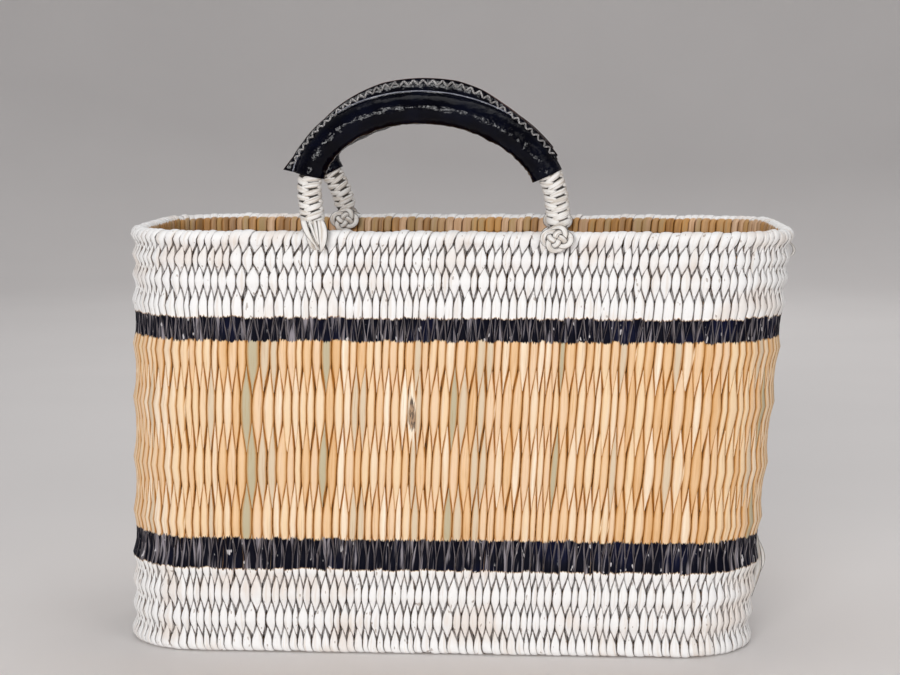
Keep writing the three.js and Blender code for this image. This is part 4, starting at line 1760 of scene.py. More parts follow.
class CordMaker:
    """Sweeps twisted cords along paths with one node tree."""

    LOBE_POINTS = 10

    def __init__(self) -> None:
        """Builds the tree: resample, tilt along the way, sweep the section."""
        sketch, given = geometry_tree("twisted_cord", ("Path", "Section"), ("Step", "Turns"))
        inputs = {"Curve": sketch.shape_of(given["Path"]), "Length": given["Step"]}
        even = sketch.node("GeometryNodeResampleCurve", inputs, mode="LENGTH")
        place = sketch.node("GeometryNodeSplineParameter").outputs["Factor"]
        turned = sketch.times(sketch.times(place, given["Turns"]), TAU)
        tilted = sketch.node("GeometryNodeSetCurveTilt", {"Curve": even.outputs[0], "Tilt": turned})
        section = sketch.shape_of(given["Section"])
        swept = sketch.node(
            "GeometryNodeCurveToMesh",
            {"Curve": tilted.outputs[0], "Profile Curve": section, "Fill Caps": True},
        )
        self.tree = close_tree(sketch, swept.outputs[0], given["Finish"])

    def sweep(
        self,
        name: str,
        paths: Sequence[Sequence[Sequence[float]]],
        cyclic: bool,
        radius: float,
        plies: int,
        turns: float,
        finish: Material,
    ) -> Object:
        """Makes one piece of cords.

        Args:
            name: Name of the piece.
            paths: Middle line of each cord.
            cyclic: Whether the cords close on themselves.
            radius: Radius at the crown of a ply.
            plies: Number of plies seen in the section.
            turns: Turns of twist along each cord.
            finish: Material of the cords.

        Returns:
            The piece.
        """
        angles = np.arange(self.LOBE_POINTS) * TAU / self.LOBE_POINTS
        reach = radius * (0.86 + 0.14 * np.cos(plies * angles))
        ring = np.stack([reach * np.cos(angles), reach * np.sin(angles), 0.0 * angles], axis=1)
        path = path_object(f"{name}_path", paths, cyclic)
        section = path_object(f"{name}_section", [ring], cyclic=True)
        carrier = mesh_object(f"{name}_start", [(0.0, 0.0, 0.0)])
        inputs = {"Path": path, "Section": section, "Step": 1.4 * radius, "Turns": turns, "Finish": finish}
        piece = grow(name, carrier, self.tree, inputs)
        discard(path, section)
        return piece


@dataclass
class InnerCords:
    """Cords hidden in the weave: one ring in each course and at the rim, and the straight base cords."""

    shape: WallShape
    maker: CordMaker
    radius: float = 1.75 * MM
    ring_turns: float = 130.0
    base_turns: float = 42.0
    plies: int = 2

    def build(self, finish: Material) -> list[Object]:
        """Sweeps both sets of cords and dresses them.

        Args:
            finish: Material of the cords.

        Returns:
            The two pieces.
        """
        size = (self.radius, self.plies)
        rings = [self.shape.outline_at(z).points() for z in self.shape.rows]
        ring_piece = self.maker.sweep("ring_cords", rings, True, *size, self.ring_turns, finish)
        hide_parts(*(f"course_cord_{k:02d}" for k in range(1, 12)), "rim_cord")
        names = [f"base_cord_{k}" for k in range(1, 6)]
        lines = []
        for low, high in map(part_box, names):
            middle = (low + high) / 2.0
            lines.append([(low.x, middle.y, middle.z), (high.x, middle.y, middle.z)])
        base_piece = self.maker.sweep("floor_cords", lines, False, *size, self.base_turns, finish)
        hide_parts(*names)
        for piece in (ring_piece, base_piece):
            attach(piece, "basket")
        return [ring_piece, base_piece]


class CopyMaker:
    """Sets turned copies of one small shape on points with one node tree."""

    def __init__(self) -> None:
        """Builds the tree: instances by the points' own turn and size, over an optional under layer."""
        sketch, given = geometry_tree("turned_copies", ("Copy", "Under Layer"))
        turn = sketch.node("FunctionNodeEulerToRotation", {"Euler": sketch.named("turn", "FLOAT_VECTOR")})
        copies = sketch.node(
            "GeometryNodeInstanceOnPoints",
            {
                "Points": given["Geometry"],
                "Instance": sketch.shape_of(given["Copy"]),
                "Rotation": turn.outputs[0],
                "Scale": sketch.named("size", "FLOAT_VECTOR"),
            },
        )
        joined = sketch.node("GeometryNodeJoinGeometry")
        for geometry in (copies.outputs[0], sketch.shape_of(given["Under Layer"])):
            sketch.feed(joined.inputs[0], geometry)
        self.tree = close_tree(sketch, joined.outputs[0], given["Finish"])

    def place(
        self,
        name: str,
        copy: Object,
        places: Sequence[tuple[Vector, Matrix, Sequence[float]]],
        finish: Material,
        under: Optional[Object] = None,
        seed: int = 1,
    ) -> Object:
        """Makes one piece of copies.

        Args:
            name: Name of the piece.
            copy: Shape to repeat.
            places: Point, turn and size of each copy.
            finish: Material of the piece.
            under: Shape that lies under the copies.
            seed: Seed of the copies' own numbers.

        Returns:
            The piece.
        """
        rng = np.random.default_rng(seed)
        values = {
            "turn": np.array([tuple(turn.to_euler("XYZ")) for _, turn, _ in places]),
            "size": np.array([tuple(size) for _, _, size in places]),
            "strip_seed": rng.random(len(places)) * 10.0,
        }
        carrier = mesh_object(f"{name}_points", [tuple(point) for point, _, _ in places], (), values)
        inputs = {"Copy": copy, "Finish": finish}
        if under:
            inputs["Under Layer"] = under
        return grow(name, carrier, self.tree, inputs, ("strip_seed", "across", "along"))


@dataclass
class HandleShape:
    """Centre line of one handle: two legs and an arch in the upright plane of its rim."""

    name: str
    plane: float
    facing: float
    lean: float
    splay: float
    offset: float = -10.8 * MM
    splay_skew: float = 1.6
    half_span: float = 75.0 * MM
    spring: float = 20.0 * MM
    rise: float = 54.0 * MM
    foot: float = 270.0 * MM
    leg_heights: tuple[float, ...] = (4.0 * MM, 9.0 * MM, 15.0 * MM)
    arch_step: int = 6

    @property
    def body(self) -> str:
        """Name of the moving body."""
        return f"{self.name}_handle"

    def point(self, x: float, height: float) -> Vector:
        """Point of the handle's plane, with its lean and splay.

        Args:
            x: Distance from the handle's middle.
            height: Height over the rim.

        Returns:
            The point in space.
        """
        share = max(height, 0.0) / (self.spring + self.rise)
        swell = math.sin(math.pi * share ** self.splay_skew) ** 2
        outset = self.splay * max(0.0, -x / self.half_span) * swell
        return Vector((self.offset + x + self.lean * share - outset, self.plane, self.foot + height))

    def arch(self, degrees: float, front: float = 0.0, out: float = 0.0) -> Vector:
        """Point off the arch's centre line, towards the handle's outer side and away from the hand."""
        return self.middle(degrees) + Vector((0.0, self.facing * front, 0.0)) + self.outward(degrees) * out

    def middle(self, degrees: float) -> Vector:
        """Point on the arch's centre line."""
        turn = math.radians(degrees)
        return self.point(-self.half_span * math.cos(turn), self.spring + self.rise * math.sin(turn))

    def outward(self, degrees: float) -> Vector:
        """Direction away from the hand in the handle's plane."""
        step = self.middle(degrees + 0.5) - self.middle(degrees - 0.5)
        return Vector((-step.z, 0.0, step.x)).normalized()

    def leg(self, side: int, height: float) -> Vector:
        """Point on the left (-1) or right (1) leg's centre line."""
        return self.point(side * self.half_span, height)

    def spine(self) -> list[Vector]:
        """Follows the rope from the left foot over the arch to the right foot.

        Returns:
            The points of the centre line.
        """
        left = [self.leg(-1, h) for h in self.leg_heights]
        arch = [self.arch(float(a)) for a in range(0, 181, self.arch_step)]
        return left + arch + [self.leg(1, h) for h in reversed(self.leg_heights)]


def closed_solid(
    name: str,
    rings: Sequence[np.ndarray],
    attributes: Optional[dict[str, np.ndarray]] = None,
) -> Object:
    """Lofts rings into a capped solid whose faces look outwards.

    Args:
        name: Name of the object.
        rings: Rings of points in order along the solid.
        attributes: Values for each point.

    Returns:
        The new object.
    """
    points, faces = loft(rings)
    return mesh_object(name, points, outward_faces(points, faces), attributes)


@dataclass
class LeatherGrip:
    """Leather sleeve sewn along a flap on its outer side, over padding rope."""

    path: HandleShape
    radius: float = 9.5 * MM
    leather: float = 1.2 * MM
    start: float = 14.0
    end: float = 166.0
    flap_end: float = 159.0
    stations: int = 124
    wrinkle: float = 0.55 * MM
    seed: float = 3.0
    flap_profile: tuple[Pair, ...] = (
        (14, 7.2), (17, 5.6), (21, 3.8), (30, 2.6), (45, 2.6), (60, 5.4), (75, 8.2), (90, 9.0),
        (105, 9.4), (115, 8.0), (125, 4.8), (135, 2.8), (150, 2.2), (159, 2.4), (159.6, 0.5), (166, 0.4),
    )
    full_flap: float = 4.0 * MM
    opening: float = 15.0
    skin_points: int = 34
    inner_reach: float = 5.0
    stitch_pairs: int = 36
    stitch_depth: float = 3.4 * MM
    shoulder_depth: float = 2.5 * MM
    stitch_edge: float = 1.0 * MM
    thread: float = 0.64 * MM

    def flap(self, degrees: float) -> float:
        """Height of the flap over the sleeve at an angle of the arch."""
        angles, heights = zip(*self.flap_profile)
        return float(np.interp(degrees, angles, heights)) * MM

    def section(self, degrees: float) -> np.ndarray:
        """Section of sleeve and flap at an angle of the arch.

        Args:
            degrees: Angle along the arch.

        Returns:
            Rows of front, outward, cut edge and painted highlight values in order round the section.
        """
        tall = self.flap(degrees)
        near = min(tall / self.full_flap, 1.0)
        rows = []
        for psi in np.linspace(self.opening, 360.0 - self.opening, self.skin_points):
            turn = math.radians(psi)
            bulge = self.radius + self.crinkle(degrees, psi)
            rows.append((bulge * math.sin(turn), bulge * math.cos(turn), 0.0, 0.0))
        top = self.radius
        # Front and outward distances in millimetres, then the cut edge and, on the sides, the share of the
        # painted highlight along the fold.
        flank = [(1.15, 0.2, 0.0, 0.0), (1.2, 1.6, 0.0, 0.0), (1.2, 2.3, 0.0, 0.0)]
        edge = [(1.2, 0.0, 0.0), (0.95, 0.35, 1.0)]
        ridge = [(1.2, 2.3, 0.0, 0.0), (1.55, 1.7, 0.0, 0.4), (1.95, 1.1, 0.0, 1.0), (1.3, 0.1, 0.0, 0.0)]
        mid = (top + 2.3 * near * MM + top + tall) / 2.0
        brim = top + tall - 0.35 * near * MM
        back = [(-f * MM, top + n * near * MM, cut, lip) for f, n, cut, lip in flank]
        back.append((-1.2 * MM, mid, 0.0, 0.0))
        back += [(-f * MM, brim + n * near * MM, cut, 0.0) for f, n, cut in edge]
        front = [(f * MM, brim + n * near * MM, cut, 0.0) for f, n, cut in reversed(edge)]
        front.append((1.2 * MM, mid, 0.0, 0.0))
        front += [(f * MM, top + n * near * MM, cut, lip * near) for f, n, cut, lip in ridge]
        wave = 0.35 * MM * noise.noise(Vector((degrees * 0.13, 4.0, self.seed)))
        return np.array(rows + [(f + wave, n, cut, lip) for f, n, cut, lip in back + front])

    def crinkle(self, degrees: float, psi: float) -> float:
        """Swelling of the leather at one point.

        Args:
            degrees: Angle along the arch.
            psi: Angle round the sleeve.

        Returns:
            The distance outwards.
        """
        turn = math.radians(psi)
        ring = Vector((1.3 * math.cos(turn), 1.3 * math.sin(turn), 0.0))
        broad = noise.noise(ring + Vector((0.0, 0.0, degrees * 0.17 + self.seed)))
        tight = noise.noise(ring * 2.2 + Vector((5.0, 0.0, degrees * 0.5 + self.seed)))
        side = ease(abs(degrees - 90.0), 10.0, 40.0)
        return self.wrinkle * (broad + (0.5 + 0.5 * side) * tight)

    def ring(self, degrees: float, rows: np.ndarray, inner: bool) -> np.ndarray:
        """Places one ring of the sleeve.

        Args:
            degrees: Angle along the arch.
            rows: Section of the sleeve and flap.
            inner: Whether the ring is shrunk to the sleeve's inside.

        Returns:
            The points of the ring.
        """
        points = []
        for front, out, _, _ in rows:
            if inner:
                size = math.hypot(front, out)
                bore = self.radius - self.leather
                front, out = front * bore / size, out * bore / size
            points.append(tuple(self.path.arch(degrees, front, out)))
        return np.array(points)

    def build(self, finish: Material) -> Object:
        """Lofts the sleeve and dresses it.

        Args:
            finish: Material of the leather.

        Returns:
            The sleeve.
        """
        angles = np.linspace(self.start, self.end, self.stations)
        angles = np.sort(np.append(angles, [self.flap_end, self.flap_end + 0.5]))
        sections = [self.section(a) for a in angles]
        order = [(self.start + self.inner_reach, 0, True), (self.start, 0, True)]
        order += [(a, k, False) for k, a in enumerate(angles)]
        order += [(self.end, -1, True), (self.end - self.inner_reach, -1, True)]
        rings = [self.ring(a, sections[k], inner) for a, k, inner in order]
        values = {
            "raw_edge": np.concatenate([sections[k][:, 2] for _, k, _ in order]),
            "lip": np.concatenate([sections[k][:, 3] for _, k, _ in order]),
        }
        piece = closed_solid(f"{self.path.name}_leather", rings, values)
        piece.data.materials.append(finish)
        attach(piece, self.path.body)
        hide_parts(f"{self.path.name}_grip_leather")
        return piece

    def bulge(self, out: float) -> float:
        """How far the flap or the sleeve under it stands to the front at a distance from the centre line."""
        sleeve = math.sqrt(max(self.radius ** 2 - out ** 2, 0.0))
        return max(1.25 * MM, sleeve + 0.1 * MM)

    def stitches(self, maker: CopyMaker, finish: Material) -> Object:
        """Zigzag seam on both faces of the flap.

        Args:
            maker: Maker of turned copies.
            finish: Material of the thread.

        Returns:
            The seam.
        """
        rings = []
        for x, width in ((-0.5, 0.4), (-0.4, 0.85), (0.0, 1.0), (0.4, 0.85), (0.5, 0.4)):
            sink = 0.9 * (1.0 - (2.0 * x) ** 4) - 0.35
            ring = [(x, width * across, sink + width * out) for across, out in oval()]
            rings.append(np.array(ring))
        stitch = closed_solid("stitch", rings)
        angles = np.linspace(self.start + 3.5, self.flap_end - 1.5, 2 * self.stitch_pairs + 1)
        places = []
        for face in (1.0, -1.0):
            corners = []
            for k, degrees in enumerate(angles):
                top = self.radius + self.flap(degrees) - self.stitch_edge
                crown = ease(self.flap(degrees), 2.5 * MM, 7.0 * MM)
                depth = self.shoulder_depth + (self.stitch_depth - self.shoulder_depth) * crown
                out = top - depth * (k % 2)
                corners.append(self.path.arch(float(degrees), face * self.bulge(out), out))
            normal = Vector((0.0, face * self.path.facing, 0.0))
            for near, far in zip(corners, corners[1:]):
                ahead = (far - near).normalized()
                turn = Matrix((ahead, normal.cross(ahead), normal)).transposed()
                places.append(((near + far) / 2.0, turn, ((far - near).length, self.thread, self.thread)))
        piece = maker.place(f"{self.path.name}_seam", stitch, places, finish)
        discard(stitch)
        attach(piece, self.path.body)
        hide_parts(f"{self.path.name}_grip_thread")
        return piece


@dataclass
class RopeCore:
    """Rope inside the handle, its padding coil under the grip, and its loops round the rim."""

    path: HandleShape
    maker: CordMaker
    core_radius: float = 4.9 * MM
    core_plies: int = 3
    core_turns: float = 11.0
    coil_radius: float = 6.75 * MM
    coil_thickness: float = 1.3 * MM
    coil_turns: int = 66
    coil_start: float = 16.0
    coil_sweep: float = 148.0
    coil_points: int = 10
    coil_plies: int = 2
    loop_radius: float = 7.7 * MM
    loop_strips: int = 3
    strip_pitch: float = 3.0 * MM
    loop_lean: float = 4.0 * MM
    loop_sink: float = 1.6 * MM
    loop_steps: int = 28
    strip_half: float = 1.7 * MM
    strip_thickness: float = 0.9 * MM
    strip_sway: float = 0.5 * MM
    rim_height: float = 264.0 * MM

    def build(self, fibre: Material, strip: Material) -> list[Object]:
        """Makes the core, the padding coil and the loops.

        Args:
            fibre: Material of the rope.
            strip: Material of the white strips.

        Returns:
            The three pieces.
        """
        name = self.path.name
        rope = (self.core_radius, self.core_plies, self.core_turns)
        core = self.maker.sweep(f"{name}_rope", [self.path.spine()], False, *rope, fibre)
        coil = []
        steps = self.coil_turns * self.coil_points
        for k in range(steps + 1):
            degrees = self.coil_start + self.coil_sweep * k / steps
            turn = TAU * self.coil_turns * k / steps
            front = self.coil_radius * math.sin(turn)
            coil.append(self.path.arch(degrees, front, self.coil_radius * math.cos(turn)))
        rope = (self.coil_thickness, self.coil_plies, 0.0)
        padding = self.maker.sweep(f"{name}_padding_coil", [coil], False, *rope, fibre)
        loops = self.loops(strip)
        for piece, node, slot in (
            (core, f"{name}_handle_core", "padding_rope"),
            (padding, f"{name}_grip_padding", "padding_rope"),
            (loops, f"{name}_handle_core", "white_reed"),
        ):
            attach(piece, self.path.body)
            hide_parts(node)
        return [core, padding, loops]

    def loops(self, finish: Material) -> Object:
        """Lays white strips side by side round the rim under each leg.

        Args:
            finish: Material of the strips.

        Returns:
            The loops.
        """
        bands = []
        for side in (-1, 1):
            foot = self.path.leg(side, 0.0)
            for k in range(self.loop_strips):
                shift = (k - (self.loop_strips - 1) / 2.0) * self.strip_pitch
                lean = self.loop_lean if side < 0 else 0.0
                bands.append(self.band(foot.x + shift, k, lean))
        return joined_strips(f"{self.path.name}_rim_loops", bands, finish, closed=True)

    def band(self, x: float, number: int, lean: float) -> list[np.ndarray]:
        """Lays one strip round the rim.

        Args:
            x: Place along the rim.
            number: Number of the strip, which sets its sway.
            lean: How far its lowest point is set aside.

        Returns:
            The rings of the strip.
        """
        rings = []
        for k in range(self.loop_steps):
            turn = TAU * k / self.loop_steps
            drop = (1.0 - math.cos(turn)) / 2.0
            middle = x + self.strip_sway * math.sin(turn + number) + lean * drop
            ring = []
            for across, out in oval():
                reach = self.loop_radius - self.loop_sink * drop + self.strip_thickness * out
                ring.append((
                    middle + self.strip_half * across,
                    self.path.plane + reach * math.sin(turn),
                    self.rim_height + reach * math.cos(turn),
                ))
            rings.append(np.array(ring))
        return rings


def joined_strips(
    name: str,
    strips: Sequence[Sequence[np.ndarray]],
    finish: Material,
    closed: bool = False,
) -> Object:
    """Joins several lofted strips into one piece with grain attributes.

    Args:
        name: Name of the piece.
        strips: Rings of each strip; every ring has the points of the plain oval.
        finish: Material of the strips.
        closed: Whether each strip closes on itself.

    Returns:
        The piece.
    """
    points: list[np.ndarray] = []
    faces: Faces = []
    along: list[float] = []
    seeds: list[float] = []
    sides = len(strips[0][0])
    start = 0
    for number, rings in enumerate(strips):
        run = list(rings) + [rings[0]] if closed else list(rings)
        flat, own = loft(run, not closed, not closed)
        if closed:
            last = len(rings) * sides
            own = [tuple(c - last if c >= last else c for c in f) for f in own]
            flat = flat[:last]
        middles = np.array([r.mean(axis=0) for r in rings])
        steps = np.linalg.norm(np.diff(middles, axis=0), axis=1)
        travelled = np.concatenate([[0.0], np.cumsum(steps)])
        points.append(flat)
        faces += [tuple(c + start for c in f) for f in outward_faces(flat, own)]
        along += list(np.repeat(travelled, sides))
        seeds += [1.7 * number + 0.3] * len(flat)
        start += len(flat)
    whole = np.concatenate(points)
    across = np.tile(oval(sides=sides)[:, 0], len(whole) // sides)
    values = {"across": across, "along": np.array(along), "strip_seed": np.array(seeds)}
    piece = mesh_object(name, whole, faces, values)
    piece.data.materials.append(finish)
    return piece


@dataclass
class LegWraps:
    """White strips plaited round both legs of a handle, as rows of tilted lens-shaped bands."""

    path: HandleShape
    maker: CopyMaker
    pitch: float = 4.6 * MM
    columns: int = 4
    spread: float = 76.0
    radius: float = 6.7 * MM
    under_radius: float = 5.9 * MM
    thickness: float = 0.95 * MM
    half_height: float = 2.45 * MM
    tilt: float = 2.0 * MM
    seed: int = 5
    shifts: Pair = (0.6 * MM, 1.8 * MM)
    low: float = 3.0 * MM
    first_row: float = 1.6 * MM
    first_turn: float = 62.0
    strip_rings: int = 9
    end_dip: float = 1.3 * MM
    end_taper: float = 0.6
    under_sides: int = 14
    under_rings: int = 12

    def strip(self) -> Object:
        """One band round part of a leg.

        Returns:
            The band, about the upright axis and facing +X.
        """
        rings = []
        along = []
        for share in np.linspace(-1.0, 1.0, self.strip_rings):
            turn = math.radians(self.spread * share)
            reach = self.radius - self.end_dip * share ** 4
            tall = self.half_height * (1.0 - self.end_taper * share * share)
            ring = []
            for across, out in oval():
                size = reach + self.thickness * out
                height = self.tilt * share + tall * across
                ring.append((size * math.cos(turn), size * math.sin(turn), height))
            rings.append(np.array(ring))
            along += [self.radius * turn] * len(ring)
        across = np.tile(oval()[:, 0], len(rings))
        return closed_solid("leg_strip", rings, {"across": across, "along": np.array(along)})

    def under_layer(self, side: int, heights: Sequence[float]) -> Object:
        """Plain tube under the bands of one leg, dark as painted shade in the gaps between them.

        Args:
            side: Left (-1) or right (1) leg.
            heights: Heights of its rings over the rim.

        Returns:
            The tube.
        """
        points = np.array([tuple(self.axis(side, h)) for h in heights])
        circle = oval(self.under_radius, self.under_radius, self.under_sides)
        rings = tube_rings(points, circle, np.array([1.0, 0.0, 0.0]))
        count = len(points) * len(circle)
        # An across value near the edge gives the tube the strips' dark edge colour: painted shade in the
        # gaps between the bands.
        values = {"across": np.full(count, 0.95), "along": np.zeros(count)}
        return closed_solid("leg_under_layer", rings, values)

    def axis(self, side: int, height: float) -> Vector:
        """Point on a leg's axis, which bends into the arch above the spring.

        Args:
            side: Left (-1) or right (1) leg.
            height: Height over the rim.

        Returns:
            The point.
        """
        shift = Vector((self.shifts[0] if side < 0 else self.shifts[1], 0.0, 0.0))
        if height <= self.path.spring:
            return self.path.leg(side, height) + shift
        climb = min((height - self.path.spring) / self.path.rise, 1.0)
        degrees = math.degrees(math.asin(climb))
        return self.path.arch(degrees if side < 0 else 180.0 - degrees) + shift

    def build(self, finish: Material) -> list[Object]:
        """Plaits both legs and dresses them.

        Args:
            finish: Material of the strips.

        Returns:
            The two pieces.
        """
        pieces = []
        strip = self.strip()
        rng = np.random.default_rng(self.seed)
        for side, label in ((-1, "left"), (1, "right")):
            node = f"{self.path.name}_{label}_leg_wrap"
            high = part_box(node)[1].z - self.path.foot - 0.5 * MM
            under = self.under_layer(side, np.linspace(self.low, high + 1.5 * MM, self.under_rings))
            places = []
            rows = int((high - self.low) / self.pitch)
            for row in range(rows + 1):
                for column in range(self.columns):
                    height = self.low + self.first_row + self.pitch * (row + 0.5 * (column % 2))
                    height += rng.normal(0.0, 0.25) * MM
                    if height > high:
                        continue
                    step = self.axis(side, height + MM) - self.axis(side, height - MM)
                    up = step.normalized()
                    turn = math.radians(360.0 * column / self.columns - self.first_turn)
                    facing = Vector((math.cos(turn), math.sin(turn), 0.0))
                    facing = (facing - up * facing.dot(up)).normalized()
                    frame = Matrix((facing, up.cross(facing), up)).transposed()
                    flip = -1.0 if column % 2 else 1.0
                    loose = 1.0 + 0.03 * rng.random()
                    size = (loose, flip * loose, rng.uniform(0.82, 1.12))
                    places.append((self.axis(side, height), frame, size))
            name = f"{self.path.name}_{label}_plait"
            piece = self.maker.place(name, strip, places, finish, under, seed=side + 7)
            discard(under)
            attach(piece, self.path.body)
            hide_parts(node)
            pieces.append(piece)
        discard(strip)
        return pieces


class LashingStyle(Enum):
    """How a lashing is finished."""

    TONGUE = "tongue"
    KNOT = "knot"


@dataclass(frozen=True)
class TongueStrip:
    """One strip of a tongue in millimetres, with places and half widths at its top, middle and tip."""

    places: Triple
    halves: Triple
    reach: float
    rise: float


@dataclass
class Lashing:
    """White strips that tie one leg's loop to the wall, on its outside or inside."""

    shape: WallShape
    node: str
    style: LashingStyle
    x: float
    front: int
    outside: bool
    strand: float = 1.75 * MM
    knot_radius: float = 5.2 * MM
    knot_swing: float = 3.3 * MM
    bights: int = 4
    bend_from: float = 262.0 * MM
    bend_to: float = 275.0 * MM
    knot_leads: int = 3
    knot_steps: int = 132
    knot_centre: float = 11.0 * MM
    knot_squash: float = 0.86
    knot_weave: float = 0.75
    strand_width: float = 1.1
    strand_depth: float = 0.62
    tongue_thickness: float = 0.85 * MM
    tongue_rings: int = 15
    tongue_middle: float = 0.45
    probe: float = 0.6 * MM
    profile: tuple[Pair, ...] = (
        (7.0, 275.6), (8.4, 273.0), (9.9, 270.0), (10.9, 267.0), (11.1, 264.0), (10.5, 260.0), (8.9, 256.6),
        (7.0, 253.6), (5.9, 250.0),
    )

    TONGUE_STRIPS = (
        TongueStrip((-5.0, -2.4, 3.6), (1.9, 2.0, 0.5), 16.5, 0.3),
        TongueStrip((-1.4, 0.8, 3.8), (1.0, 1.0, 0.5), 13.5, -0.2),
        TongueStrip((1.8, 3.2, 4.8), (1.3, 1.4, 0.6), 15.0, 0.1),
        TongueStrip((5.4, 7.4, 5.8), (2.3, 3.1, 0.5), 19.6, 0.6),
    )

    def over(self, x: float, down: float, out: float) -> Vector:
        """Point on the saddle over the rim loop.

        Args:
            x: Place along the basket.
            down: Distance down the saddle from its top.
            out: Distance off the saddle.

        Returns:
            The point in space.
        """
        line = np.array(self.profile) * MM
        steps = np.concatenate([[0.0], np.cumsum(np.linalg.norm(np.diff(line, axis=0), axis=1))])

        def at(distance: float) -> np.ndarray:
            """Lift and height of the saddle at a distance from its top."""
            return np.array([np.interp(distance, steps, column) for column in line.T])

        lift, z = at(down)
        slope, rise = at(down + self.probe) - at(down - self.probe)
        size = math.hypot(rise, slope) or 1.0
        lift += out * -rise / size
        z += out * slope / size
        sign = 1.0 if self.outside else -1.0
        return self.shape.face(x, z, sign * lift, self.front)

    def build(self, finish: Material) -> Object:
        """Lays the strips and dresses them.

        Args:
            finish: Material of the strips.

        Returns:
            The lashing.
        """
        strips = self.tongue() if self.style is LashingStyle.TONGUE else [self.knot()]
        piece = joined_strips(f"{self.node}_strips", strips, finish, closed=self.style is LashingStyle.KNOT)
        place = self.over(self.x, 0.0, 0.0)
        handle = "front_handle" if self.front > 0 else "back_handle"
        low = (place.x, place.y, self.bend_from)
        high = (place.x, place.y, self.bend_to)
        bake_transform(piece, "basket", handle, start=low, end=high)
        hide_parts(self.node)
        return piece

    def tongue(self) -> list[list[np.ndarray]]:
        """Lays strips that run down from the loop and meet in a point.

        Returns:
            The rings of each strip.
        """
        strips = []
        shares = np.linspace(0.0, 1.0, self.tongue_rings)
        knots = (0.0, self.tongue_middle, 1.0)
        for strip in self.TONGUE_STRIPS:
            places = np.polyval(np.polyfit(knots, strip.places, 2), shares) * MM
            halves = np.polyval(np.polyfit(knots, strip.halves, 2), shares) * MM
            rings = []
            for share, place, half in zip(shares, places, halves):
                down = share * strip.reach * MM
                rings.append(self.strip_ring(self.x + place, down, strip.rise * MM, half))
            strips.append(rings)
        return strips

    def strip_ring(self, x: float, down: float, out: float, half: float) -> np.ndarray:
        """Ring of a tongue's strip that lies flat on the saddle.

        Args:
            x: Place along the basket.
            down: Distance down the saddle from its top.
            out: Distance off the saddle.
            half: Half width of the strip.

        Returns:
            The points of the ring.
        """
        thick = self.tongue_thickness
        ring = [tuple(self.over(x + half * u, down, out + thick * v)) for u, v in oval()]
        return np.array(ring)

    def knot(self) -> list[np.ndarray]:
        """Lays one strand that weaves over and under itself three times round.

        Returns:
            The rings of the strand.
        """
        line = []
        for k in range(self.knot_steps):
            turn = TAU * self.knot_leads * k / self.knot_steps
            swing = self.bights * turn / self.knot_leads
            reach = self.knot_radius + self.knot_swing * math.cos(swing)
            height = self.knot_weave * self.strand * math.sin(2.0 * swing)
            line.append((reach * math.cos(turn), reach * math.sin(turn), height))
        flat = np.array(line)
        ahead = np.roll(flat, -1, axis=0) - np.roll(flat, 1, axis=0)
        rings = []
        for point, way in zip(flat, ahead):
            way = way / np.linalg.norm(way)
            side = np.cross(way, (0.0, 0.0, 1.0))
            side /= np.linalg.norm(side)
            up = np.cross(side, way)
            ring = []
            for across, lift in oval():
                aside = side * self.strand * self.strand_width * across
                spot = point + aside + up * self.strand * self.strand_depth * lift
                down = self.knot_centre + self.knot_squash * spot[1]
                ring.append(tuple(self.over(self.x + spot[0], down, 0.2 * MM + spot[2])))
            rings.append(np.array(ring))
        return rings


@dataclass
class LooseReeds:
    """Frayed reed ends that stand off the right end of the basket."""

    shape: WallShape
    steps: int = 14
    root_lift: float = 2.6
    bow_power: float = 1.3
    sway: float = 2.5
    sway_turn: float = 2.2
    end_taper: float = 0.4
    # Place in y, lower and upper end, bow, half width and half thickness, in millimetres.
    spots: tuple[tuple[float, ...], ...] = (
        (-31.0, 27.0, 67.0, 3.4, 2.6, 1.0),
        (-29.0, 33.0, 68.0, 6.6, 1.4, 0.8),
        (-24.0, 245.0, 261.0, 6.0, 1.0, 0.5),
        (8.0, 226.0, 246.0, 5.0, 0.6, 0.35),
    )

    def build(self, finish: Material) -> Object:
        """Bows a few thin strips off the wall.

        Args:
            finish: Material of the strips.

        Returns:
            The strips as one piece.
        """
        strips = []
        for y, low, high, bow, width, thick in self.spots:
            rings = []
            for k in range(self.steps + 1):
                share = k / self.steps
                z = (low + (high - low) * share) * MM
                outline = self.shape.outline_at(z)
                lift = (self.root_lift + bow * math.sin(math.pi * share) ** self.bow_power) * MM
                side = (y + self.sway * math.sin(self.sway_turn * share)) * MM
                taper = (1.0 - self.end_taper * abs(2.0 * share - 1.0)) * MM
                ring = [
                    (outline.right + lift + width * taper * across, side - thick * taper * out, z)
                    for across, out in oval()
                ]
                rings.append(np.array(ring))
            strips.append(rings)
        piece = joined_strips("loose_reeds", strips, finish)
        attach(piece, "basket")
        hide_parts("right_reeds")
        return piece


